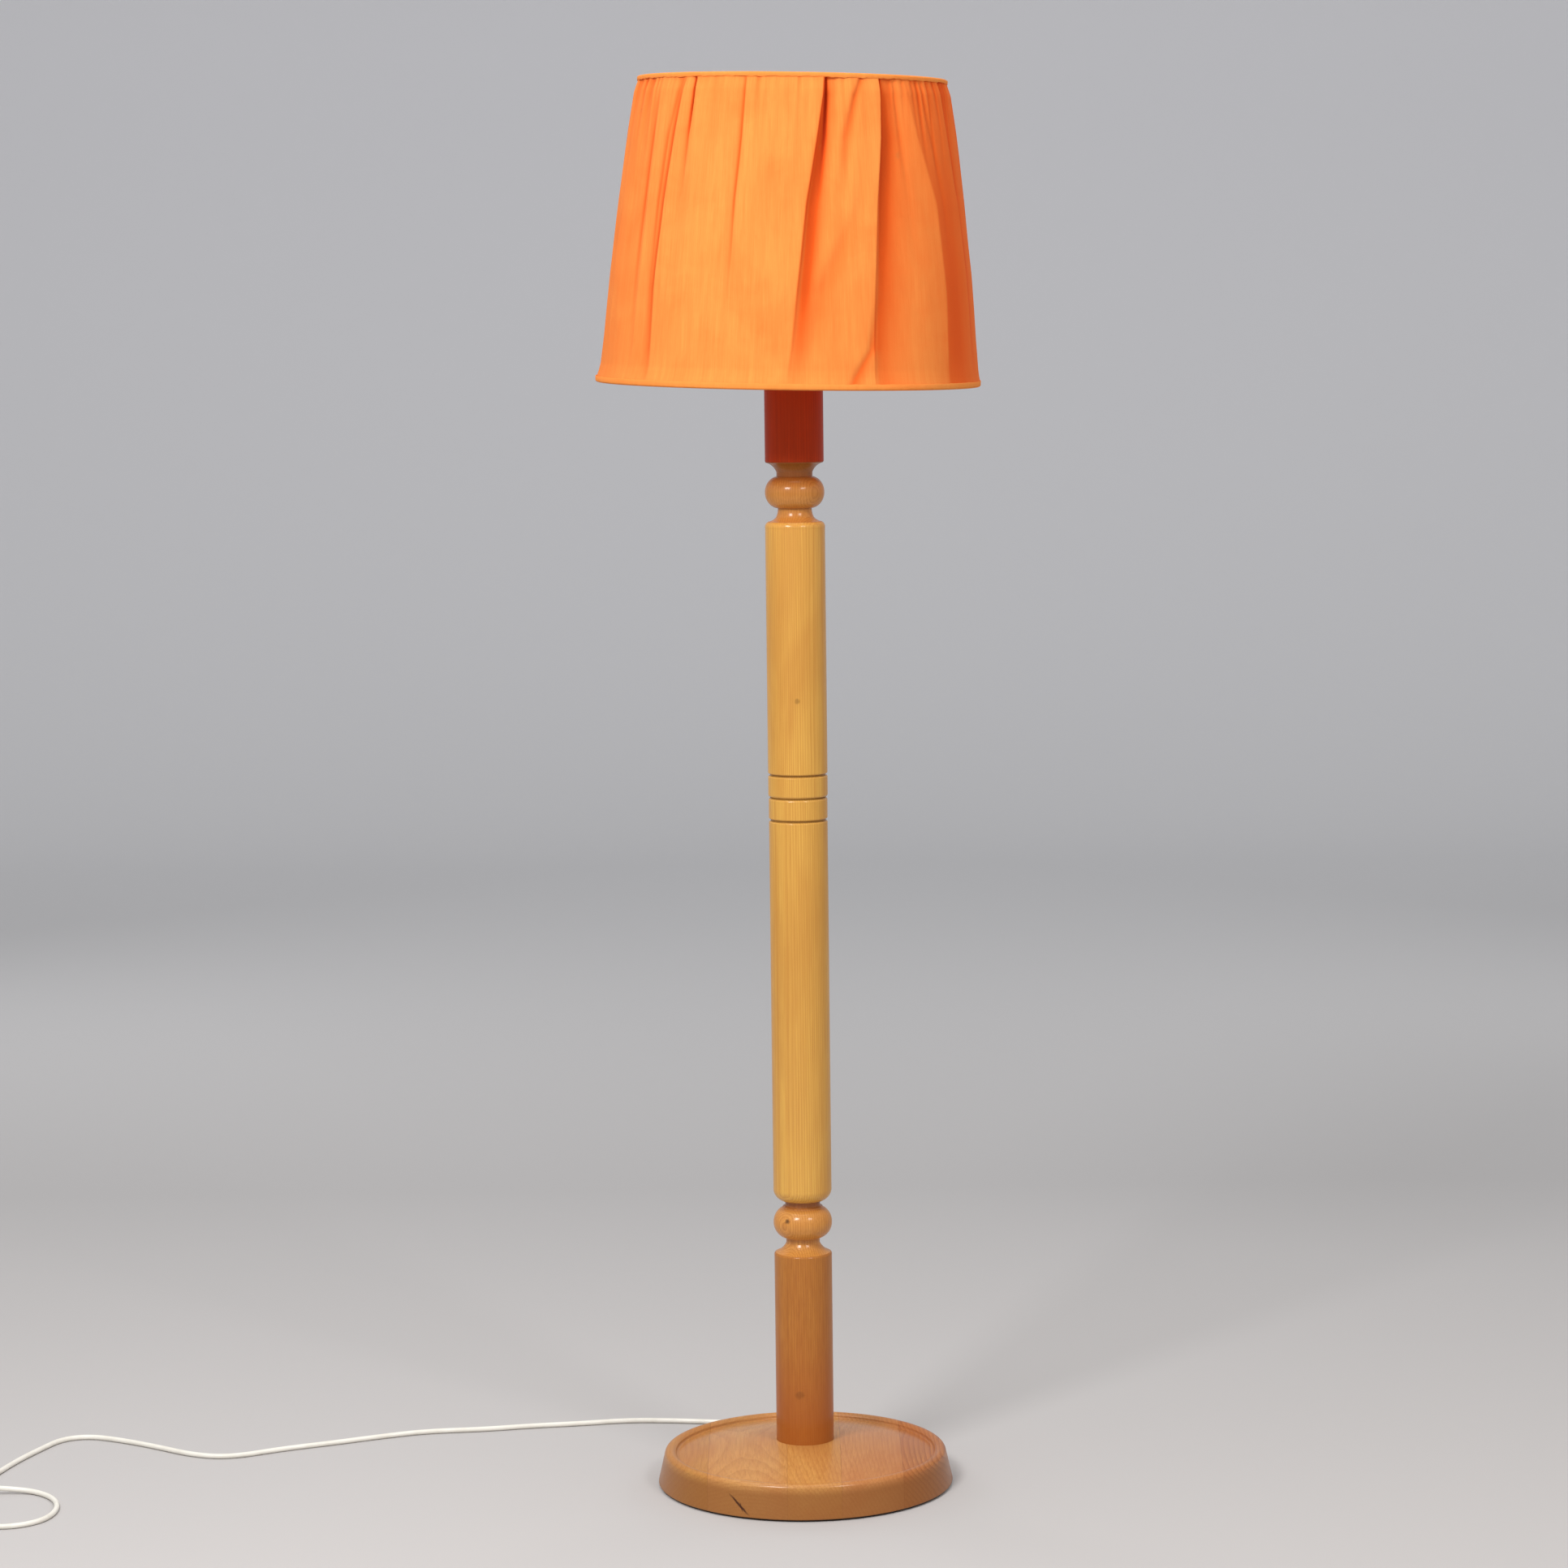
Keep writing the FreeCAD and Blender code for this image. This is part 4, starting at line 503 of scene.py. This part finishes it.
# folds: kind, path (angle from the front, in degrees, at shares of the height from the hem),
# depth in mm at the same shares, and width in degrees. A lap is a raised edge with the cloth tucked
# away on its right, or on its left where the width is negative.
FOLD_SHARES = (0.0, 0.13, 0.31, 0.59, 0.80, 0.93, 1.0)
FOLD_TAPER = (0.75, 0.85, 1.0, 1.0, 0.85, 0.6, 0.4)
FOLDS = [
    ("lap", (-74, -74, -74, -73.5, -73, -72.5, -72), (0.1, 0.3, 0.6, 0.9, 1.0, 0.8, 0.3), -3.0),
    ("valley", (-64, -64, -64, -63.5, -63, -62.5, -62), (0, 0.1, 0.2, 0.4, 0.9, 1.2, 0.5), 2.0),
    ("lap", (-55.4, -55.4, -55.4, -54.6, -54.2, -54, -53.8), (0, 0.6, 1.3, 1.8, 1.6, 0.8, 0.3), -3.0),
    ("lap", (-46, -46.2, -46.7, -45.2, -43.6, -42.2, -41), (0.2, 1.4, 2.2, 2.6, 2.2, 1.2, 0.4), -3.6),
    ("valley", (-40, -40, -40, -39.8, -38.9, -38.0, -37.6), (0, 0, 0.1, 0.8, 2.2, 2.6, 1.4), 2.2),
    ("slit", (-38.5, -38.5, -38.5, -38.5, -38.3, -37.6, -37.4), (0, 0, 0, 0, 1.2, 4.6, 4.6), 0.75),
    ("lap", (-19, -19, -19, -18.2, -16.8, -16.5, -16.5), (0, 0, 0.3, 1.8, 2.0, 1.8, 0.8), -2.6),
    ("valley", (-9, -9, -8.5, -8, -7.5, -7, -7), (0, 0, 0.3, 0.8, 0.6, 0.4, 0.2), 5.0),
    ("lap", (-1, 0.7, 2.1, 4.8, 8.4, 10.6, 11.3), (0.2, 2.2, 4.6, 6.2, 6.6, 6.2, 3.4), 4.0),
    ("slit", (3, 3, 5, 9, 11.4, 12.0, 12.4), (0, 0, 0, 0, 1.6, 3.2, 3.0), 0.8),
    ("valley", (14, 14.5, 15, 17, 19.5, 23, 26), (0, 0.3, 0.6, 0.3, 2.6, 2.6, 1.0), 2.3),
    ("valley", (6, 7, 10, 23, 25, 25, 25), (0, 0.6, 2.2, 1.0, 0, 0, 0), 2.4),
    ("valley", (18, 25.5, 28, 28, 28, 28, 28), (1.4, 1.6, 0, 0, 0, 0, 0), 1.6),
    ("lap", (26.0, 26.2, 26.8, 28.7, 31.2, 32.2, 32.4), (1.6, 3.2, 4.4, 6.0, 6.6, 5.4, 2.6), 6.2),
    ("slit", (27, 27.2, 28, 30, 32.2, 33.2, 33.4), (0, 0, 0, 0.6, 1.6, 2.6, 2.6), 0.8),
    ("valley", (43, 43, 43, 42.5, 41, 40, 39.5), (0, 0, 0, 0.3, 1.2, 1.6, 0.7), 1.5),
    ("ridge", (54.9, 55.2, 55.4, 53.7, 48.0, 45.0, 44.0), (0.3, 2.4, 3.4, 3.6, 2.6, 1.2, 0.2), 6.5),
    ("valley", (60, 60, 60, 59, 56, 54, 53), (0, 0, 0, 0.4, 1.4, 1.8, 0.8), 1.5),
    ("lap", (74, 74, 73, 70.2, 67.2, 66.2, 66.2), (0.2, 0.9, 2.2, 4.4, 6.0, 6.0, 3.4), 4.4),
    ("slit", (70, 70, 70, 70, 67.8, 67.0, 67.2), (0, 0, 0, 0, 1.6, 3.4, 3.2), 0.9),
    ("valley", (92, 92, 92, 92.5, 93, 94, 94), (0.1, 0.3, 0.6, 1.0, 1.8, 2.2, 1.0), 2.6),
    ("lap", (103, 103, 104, 105, 107, 108, 108), (0.2, 1.0, 1.8, 2.6, 3.0, 2.6, 1.0), 4.0),
    ("lap", (123, 123, 123, 124, 125, 126, 126), (0.8, 2.4, 4.2, 5.8, 6.4, 5.8, 3.0), 5.0),
    ("slit", (124, 124, 124, 125, 126, 127, 127), (0, 0, 0, 0, 1.4, 3.4, 3.0), 0.9),
    ("valley", (153, 153, 152, 151, 150, 150, 150), (0, 0.3, 1.0, 2.0, 3.2, 3.4, 1.6), 2.4),
    ("ridge", (168, 168, 168, 168.5, 169, 170, 170), (0.3, 1.4, 1.8, 1.8, 1.4, 0.8, 0.2), 6.0),
    ("lap", (190, 190, 190, 191, 191.5, 192, 192), (0.8, 2.6, 4.6, 6.4, 7.0, 6.0, 3.0), 5.2),
    ("slit", (192, 192, 192, 192.5, 192.8, 193.2, 193.2), (0, 0, 0, 0.4, 1.4, 3.2, 3.0), 0.8),
    ("valley", (211, 211, 211.5, 212, 213, 213, 213), (0, 0.4, 1.0, 1.8, 3.4, 3.8, 1.8), 2.2),
    ("lap", (232, 232, 231.5, 231, 230.5, 230, 230), (0.2, 0.9, 1.6, 2.0, 2.0, 1.4, 0.5), -3.6),
    ("lap", (250, 250, 249.5, 249, 249, 249, 249), (0.6, 2.0, 3.6, 5.2, 6.2, 5.6, 2.8), 4.6),
    ("valley", (271, 271, 271, 271.5, 272, 272, 272), (0, 0.2, 0.5, 0.9, 1.8, 2.2, 1.0), 2.4),
]
# how strongly slits, laps, the edges of laps, valleys and gathers darken the cloth with painted shade
SLIT_SHADE = 0.28
LAP_SHADE = 0.085
LAP_EDGE_SHADE = 0.06
VALLEY_SHADE = 0.06
GATHER_SHADE = 0.16

# painted shadow: soft darker bands beside the laps and folds: path, amount, and width left and right in
# degrees
SHADOWS = [
    ((1.6, 3.3, 4.8, 7.4, 10.4, 12.0, 12.6), (0.08, 0.26, 0.38, 0.40, 0.40, 0.32, 0.15), 2.2, 2.7),
    ((28, 28.2, 28.8, 30.7, 33.2, 34.2, 34.4), (0.18, 0.22, 0.26, 0.28, 0.30, 0.26, 0.16), 1.2, 5.0),
    ((35, 36, 37, 39, 41, 42, 42), (0.12, 0.14, 0.16, 0.17, 0.16, 0.12, 0.05), 6.0, 9.0),
    ((56, 56.4, 56.6, 54.9, 49.2, 46.2, 45), (0.20, 0.26, 0.26, 0.22, 0.14, 0.08, 0.0), 1.2, 12.0),
    ((75, 75, 74, 71.4, 69.2, 68.6, 68.6), (0.0, 0.08, 0.18, 0.36, 0.44, 0.42, 0.20), 1.0, 4.0),
    ((-46.8, -47, -47.5, -46, -44.4, -42.8, -41.6), (0.05, 0.30, 0.42, 0.42, 0.40, 0.30, 0.1), 1.6, 0.4),
    ((-48.6, -48.8, -49.4, -49.0, -47.4, -45, -43), (0.0, 0.05, 0.12, 0.30, 0.30, 0.15, 0.0), 1.2, 0.5),
    ((-57, -57, -57, -56.6, -55.6, -55, -54.8), (0.0, 0.0, 0.12, 0.34, 0.34, 0.12, 0.0), 1.6, 0.4),
    ((-19.4, -19.4, -19.2, -18.4, -17.2, -16.9, -16.9), (0.0, 0.0, 0.04, 0.34, 0.36, 0.32, 0.26), 1.0, 0.4),
    ((9, 9, 12, 25, 25, 25, 25), (0.0, 0.04, 0.13, 0.05, 0.0, 0.0, 0.0), 2.4, 2.4),
    ((15, 15, 15, 16, 19.2, 22.6, 25.6), (0.0, 0.0, 0.0, 0.02, 0.14, 0.20, 0.14), 2.2, 1.6),
    ((18.5, 25.5, 27, 27, 27, 27, 27), (0.36, 0.26, 0.0, 0.0, 0.0, 0.0, 0.0), 1.0, 2.4),
    ((127, 127, 127, 128, 129, 130, 130), (0.05, 0.12, 0.22, 0.28, 0.32, 0.26, 0.12), 1.2, 5.0),
    ((194, 194, 194, 195, 195.5, 196, 196), (0.05, 0.12, 0.24, 0.30, 0.34, 0.28, 0.12), 1.2, 5.5),
    ((253, 253, 252.5, 252, 252, 252, 252), (0.05, 0.10, 0.18, 0.24, 0.28, 0.24, 0.12), 1.2, 5.0),
]
GATHER_COUNT = 170
GATHER_SEED = 7
CROWDED_GATHERS = ((-74, -44), (36, 63), (95, 118), (160, 180), (220, 243), (280, 296))
BULGE_SHARES = (0.0, 0.012, 0.035, 0.06, 0.15, 0.37, 0.60, 0.82, 0.95, 0.986, 1.0)
BULGE_MM = (0.0, 0.5, -1.0, -1.9, -1.2, 1.8, 3.0, 2.9, 1.9, -0.4, 0.0)
CLOTH_COLUMNS = 1200
CLOTH_ROWS = 104


def wrapped(degrees):
    return (degrees + 180.0) % 360.0 - 180.0


def fold_height(kind, x, width):
    """Height of a fold of depth 1 at x degrees to the right of its line."""
    if kind in ("valley", "slit"):
        return -np.exp(-(x / width) ** 2)
    if kind == "ridge":
        return np.exp(-np.abs(x) / width)
    right = np.clip(x, 0, None)
    tucked = 0.22 * np.exp(-right / 0.8) - right / width * np.exp(1.0 - right / width)
    return np.where(x > 0, tucked, 0.22 * np.exp(-(np.clip(-x, 0, None) / (1.2 * width)) ** 2))


def cloth_form(angle, share):
    """How far the cloth stands out from a straight-sided cone, in metres, and how much painted shade it
    carries.
    """
    offset = np.interp(share, BULGE_SHARES, BULGE_MM)
    side = np.clip(np.cos(np.radians(angle - 88.0)), 0, 1) ** 2
    offset = offset + 2.6 * side * np.interp(share, (0, 0.06, 0.25, 0.75, 1), (0, 0.8, 1.0, 0.8, 0))
    around = wrapped(angle)
    # painted shade: darker on the right side, away from the key light, and a little darker towards the far
    # left
    painted_shade = 0.30 * np.clip((around - 42.0) / 22.0, 0, 1) * np.clip((150.0 - around) / 50, 0, 1)
    painted_shade = painted_shade + 0.10 * np.clip((-around - 50.0) / 20.0, 0, 1)
    for kind, path, depth, width in FOLDS:
        line = np.interp(share, FOLD_SHARES, path)
        strength = np.interp(share, FOLD_SHARES, depth) * np.clip((1.0 - share) / 0.02, 0.15, 1)
        breadth = abs(width) * np.interp(share, FOLD_SHARES, FOLD_TAPER)
        x = wrapped(angle - line) * math.copysign(1.0, width)
        height = fold_height(kind, x, breadth)
        offset = offset + strength * height
        # painted shade in the creases of slits, laps and valleys, and a painted shadow along each lap's
        # edge
        if kind == "slit":
            painted_shade = painted_shade - SLIT_SHADE * strength * height
        elif kind == "lap":
            painted_shade = painted_shade + LAP_SHADE * strength * np.clip(-height, 0, 1) * np.exp(-np.clip(x, 0, None) / breadth)
            painted_shade = painted_shade + LAP_EDGE_SHADE * strength * np.exp(-((x - 0.25) / 0.35) ** 2)
        elif kind == "valley":
            painted_shade = painted_shade - VALLEY_SHADE * strength * height
    # painted shadows beside the folds
    for path, amount, left, right in SHADOWS:
        x = wrapped(angle - np.interp(share, FOLD_SHARES, path))
        painted_shade = painted_shade + np.interp(share, FOLD_SHARES, amount) * np.exp(-(x / np.where(x < 0, left, right)) ** 2)
    chance = np.random.default_rng(GATHER_SEED)
    for k in range(GATHER_COUNT):
        if k % 2:
            low, high = CROWDED_GATHERS[(k // 2) % len(CROWDED_GATHERS)]
            top = chance.uniform(low, high)
        else:
            top = chance.uniform(-180, 180)
        drift = chance.uniform(-3.0, 3.0)
        width = chance.uniform(0.45, 1.3)
        depth = chance.uniform(0.25, 0.95)
        reach = chance.uniform(0.10, 0.45)
        fade = np.clip(1.0 - (1.0 - share) / reach, 0, 1) ** 1.4 * np.clip((1.0 - share) / 0.02, 0.3, 1)
        x = wrapped(angle - (top + drift * (1.0 - share)))
        pinch = depth * fade * np.exp(-(x / width) ** 2)
        offset = offset - pinch
        # painted shade in each gather
        painted_shade = painted_shade + GATHER_SHADE * pinch
    ripple = (0.35 * np.sin(np.radians(angle) * 9 + share * 3.1)
              + 0.22 * np.sin(np.radians(angle) * 17 - share * 5.3 + 1.0)
              + 0.12 * np.sin(np.radians(angle) * 41 + share * 23.0))
    offset = offset + ripple * np.sin(np.pi * np.clip(share, 0, 1))
    hem = np.exp(-((share - 0.035) / 0.03) ** 2)
    offset = offset - 1.3 * hem * np.exp(-(wrapped(angle - 21.5) / 4.0) ** 2)
    return offset * MM, np.clip(painted_shade, 0, 1)


def round_points(angle, radius, z):
    """Points at angles from the front, drawn upright and then leaned with the shade."""
    turn = np.radians(angle - 90.0)
    points = np.stack([radius * np.cos(turn), radius * np.sin(turn), z], axis=-1)
    return leaned(points.reshape(-1, 3))


def shade_cloth(material):
    angle = np.arange(CLOTH_COLUMNS) * 360.0 / CLOTH_COLUMNS - 180.0
    share = 0.5 - 0.5 * np.cos(np.linspace(0.0, np.pi, CLOTH_ROWS))
    share = 0.5 * share + 0.5 * np.linspace(0.0, 1.0, CLOTH_ROWS)
    angles, shares = np.meshgrid(angle, share)
    radius = CLOTH_HEM_RADIUS + (CLOTH_TOP_RADIUS - CLOTH_HEM_RADIUS) * shares
    offset, painted_shade = cloth_form(angles, shares)
    radius = radius + offset
    z = CLOTH_LOW_Z + (CLOTH_HIGH_Z - CLOTH_LOW_Z) * shares
    outside = round_points(angles, radius, z)
    inside = round_points(angles, radius - CLOTH_THICKNESS, z)
    both = np.concatenate([outside, inside.reshape(CLOTH_ROWS, CLOTH_COLUMNS, 3)[::-1].reshape(-1, 3)])
    around = np.radians(angles) * (CLOTH_HEM_RADIUS + CLOTH_TOP_RADIUS) / 2
    uv = np.stack([around, z], axis=-1).reshape(CLOTH_ROWS, CLOTH_COLUMNS, 2)
    uv = np.concatenate([uv, uv[::-1]]).reshape(-1, 2)
    faces = ring_faces(2 * CLOTH_ROWS, CLOTH_COLUMNS)
    piece = new_piece("shade_fabric", both, faces, material, "shade", uv=uv)
    # the painted shade rides on the mesh as a point attribute
    layer = piece.data.attributes.new("painted_shade", "FLOAT", "POINT")
    layer.data.foreach_set("value", np.concatenate([painted_shade, painted_shade[::-1]]).astype(np.float32).ravel())
    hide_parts("shade_cloth")
    return piece


def binding_profile(ring_radius, outer_radius, edge_z, height, inward):
    """Closed outline (radius, height) of a strip folded over a ring and the cloth."""
    wall = BINDING_THICKNESS
    inside = ring_radius - RING_WIRE_RADIUS - WIRE_GAP - wall
    middle = (inside + outer_radius) / 2
    half = (outer_radius - inside) / 2
    crown = 1.9 * MM
    turns = np.linspace(0.0, np.pi, 13)
    out_r = middle + half * np.cos(turns)
    out_z = edge_z + inward * (crown - crown * np.sin(turns))
    in_r = middle + (half - wall) * np.cos(turns[::-1])
    in_z = edge_z + inward * (crown - (crown - wall) * np.sin(turns[::-1]))
    lap = edge_z + inward * height
    short = edge_z + inward * BINDING_INNER_LAP
    radii = [outer_radius - wall, outer_radius - wall * 0.3, outer_radius, *out_r,
             inside, inside + wall, *in_r]
    heights = [lap, lap, lap - inward * wall * 0.4, *out_z, short, short, *in_z]
    return np.array(radii), np.array(heights)


def shade_binding(name, node, profile, inward, material, pucker, seed):
    radii, heights = profile
    columns = 720
    angle = np.arange(columns) * 360.0 / columns
    chance = np.random.default_rng(seed)
    wave = np.zeros(columns)
    lift = np.zeros(columns)
    for count in (11, 23, 37, 61, 97, 150):
        wave += chance.uniform(0.4, 1.0) * np.sin(np.radians(angle) * count + chance.uniform(0, 6.3))
        lift += chance.uniform(0.4, 1.0) * np.sin(np.radians(angle) * count + chance.uniform(0, 6.3))
    wave, lift = wave * pucker * 0.25, lift * pucker * 0.25
    rows = len(radii)
    edge = heights.min() if inward > 0 else heights.max()
    away = np.abs(heights - edge) / np.abs(heights - edge).max()
    z = heights[:, None] + inward * lift[None, :] * away[:, None]
    outer = (radii > radii.mean())[:, None]
    r = radii[:, None] + np.where(outer, wave[None, :] * 0.35, 0.0)
    angles = np.broadcast_to(angle[None, :], r.shape)
    points = round_points(angles, r, z)
    u = np.broadcast_to(np.radians(angle)[None, :] * radii.mean(), r.shape)
    v = np.broadcast_to(np.arange(rows)[:, None] * 1.2 * MM, r.shape)
    uv = np.stack([u, v], axis=-1).reshape(-1, 2)
    faces = ring_faces(rows, columns)
    piece = new_piece(name, points, faces, material, "shade", uv=uv)
    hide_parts(node)
    return piece


def dress_shade():
    # the last colour is the darkest painted shade in the creases and on the shaded side
    body = cloth("shade_fabric", linear("FFAA52"), linear("F2661C"), linear("BE3404"))
    trim = cloth("trim_fabric", linear("FFA850"), linear("F88430"), linear("BE3404"), with_painted_shade=False)
    fabric = shade_cloth(body)
    shared = BINDING_THICKNESS + LAYER_GAP + CLOTH_THICKNESS + WIRE_GAP + RING_WIRE_RADIUS
    top = binding_profile(SHADE_TOP_RADIUS - shared, SHADE_TOP_RADIUS, SHADE_TOP_Z, TOP_BINDING_HEIGHT, -1)
    hem = binding_profile(SHADE_BOTTOM_RADIUS - shared, SHADE_BOTTOM_RADIUS, SHADE_BOTTOM_Z,
                          HEM_BINDING_HEIGHT, 1)
    edges = [
        shade_binding("top_edge_binding", "shade_top_binding", top, -1, trim, 0.8 * MM, 3),
        shade_binding("hem_edge_binding", "shade_hem_binding", hem, 1, trim, 0.35 * MM, 5),
    ]


# ---- the lead ----------------------------------------------------------------------
def coil_points():
    """Points along the coil: in on the lower layer, up in the half turn of reversal, and out."""
    reversal = COIL_TURNS_PER_LAYER + COIL_CLIMB_TURNS / 2
    total = COIL_TURNS_PER_LAYER + COIL_CLIMB_TURNS + COIL_LAST_TURNS
    points = []
    for k in range(int(round(total * COIL_POINTS_PER_TURN)) + 1):
        turn = k / COIL_POINTS_PER_TURN
        angle = math.radians(COIL_START_ANGLE + 360.0 * turn)
        radius = COIL_OUTER_RADIUS - COIL_PITCH * (reversal - abs(turn - reversal))
        climbed = min(max((turn - COIL_TURNS_PER_LAYER) / COIL_CLIMB_TURNS, 0.0), 1.0)
        points.append(Vector((COIL_CENTRE[0] + radius * math.cos(angle),
                              COIL_CENTRE[1] + radius * math.sin(angle),
                              CORD_LEVEL + COIL_PITCH * climbed)))
    return points, Vector((-math.sin(angle), math.cos(angle), 0))


def free_lead(material):
    coil, onward = coil_points()
    route = [Vector(CORD_EXIT) * MM]
    for place in CORD_ROUTE:
        height = place[2] * MM if len(place) == 3 else CORD_LEVEL
        route.append(Vector((place[0] * MM, place[1] * MM, height)))
    tail = [coil[-1] + onward * PLUG_DISTANCE * share for share in (0.35, 0.68, 1.0)]
    tail[1].z = tail[2].z = PLUG_LEVEL
    points = route + coil + tail
    curve = bpy.data.curves.new("lead", "CURVE")
    curve.dimensions = "3D"
    curve.bevel_depth = CORD_RADIUS
    curve.bevel_resolution = 5
    curve.resolution_u = 6
    curve.use_fill_caps = True
    spline = curve.splines.new("NURBS")
    spline.points.add(len(points) - 1)
    for point, place in zip(spline.points, points):
        point.co = (*place, 1.0)
    spline.order_u = 3
    spline.use_endpoint_u = True
    curve.materials.append(material)
    lead = bpy.data.objects.new("lead", curve)
    bpy.context.scene.collection.objects.link(lead)
    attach(lead, "stand")
    for node in ("cord_lead", "cord_coil", "cord_tail"):
        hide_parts(node)


# ---- stage, lights and camera ----------------------------------------------------------
def stage():
    """Floor that sweeps up into a backdrop behind the lamp."""
    profile = [(STAGE_FRONT, 0.0), (STAGE_BACK, 0.0)]
    profile += [(STAGE_BACK + STAGE_BEND * math.sin(a), STAGE_BEND - STAGE_BEND * math.cos(a))
                for a in np.linspace(0.08, math.pi / 2, 18)]
    profile.append((STAGE_BACK + STAGE_BEND, STAGE_HIGH))
    points, faces = [], []
    for y, z in profile:
        points += [(-STAGE_HALF, y, z), (STAGE_HALF, y, z)]
    for k in range(len(profile) - 1):
        faces.append((2 * k, 2 * k + 1, 2 * k + 3, 2 * k + 2))
    floor = new_piece("stage_sweep", points, faces, plain_stage(), None)


def softbox(name, place, target, side, power, glints=True):
    """A square of light that faces a point; glints says whether glossy surfaces mirror it."""
    data = bpy.data.lights.new(name, "AREA")
    data.shape = "SQUARE"
    data.size = side
    data.energy = power
    lamp = bpy.data.objects.new(name, data)
    lamp.location = place
    lamp.visible_glossy = glints
    lamp.visible_camera = False
    lamp.rotation_euler = (Vector(target) - Vector(place)).to_track_quat("-Z", "Y").to_euler()
    bpy.context.scene.collection.objects.link(lamp)


def lights():
    softbox("left_box", (-1.2, -2.1, 2.45), (0, 0, 0.7), 0.8, 62)
    softbox("right_box", (1.4, -2.05, 2.4), (0, 0, 0.7), 0.7, 24)
    softbox("overhead", (-0.4, 0.2, 3.6), (0, 0.2, 0), 2.6, 42)
    softbox("rear_left", (-2.3, 2.9, 2.0), (0, 0, 0.9), 1.5, 20, glints=False)
    softbox("rear_right", (2.3, 2.9, 2.0), (0, 0, 0.9), 1.5, 15, glints=False)
    world = bpy.data.worlds.new("studio")
    world.use_nodes = True
    background = world.node_tree.nodes["Background"]
    background.inputs["Color"].default_value = (1.0, 1.0, 1.0, 1.0)
    background.inputs["Strength"].default_value = WORLD_STRENGTH
    bpy.context.scene.world = world


def camera():
    data = bpy.data.cameras.new("camera")
    data.sensor_width = SENSOR
    data.lens = SENSOR * FOCAL_PIXELS / PHOTO_SIZE
    eye = bpy.data.objects.new("camera", data)
    right = Vector((1, 0, 0))
    up = Vector((0, math.sin(CAMERA_PITCH), math.cos(CAMERA_PITCH)))
    forward = Vector((0, math.cos(CAMERA_PITCH), -math.sin(CAMERA_PITCH)))
    rolled_right = right * math.cos(CAMERA_ROLL) - up * math.sin(CAMERA_ROLL)
    rolled_up = right * math.sin(CAMERA_ROLL) + up * math.cos(CAMERA_ROLL)
    axes = Matrix((rolled_right, rolled_up, -forward)).transposed()
    eye.matrix_world = Matrix.Translation(CAMERA_PLACE) @ axes.to_4x4()
    bpy.context.scene.collection.objects.link(eye)
    bpy.context.scene.camera = eye


cord_material = moulded("lead_plastic", linear("E8E4DA"), linear("CFC9BA"), 0.42, 0.15)
dress_nodes()
dress_shade()
free_lead(cord_material)
stage()
lights()
camera()
bpy.context.scene.view_settings.view_transform = "Standard"
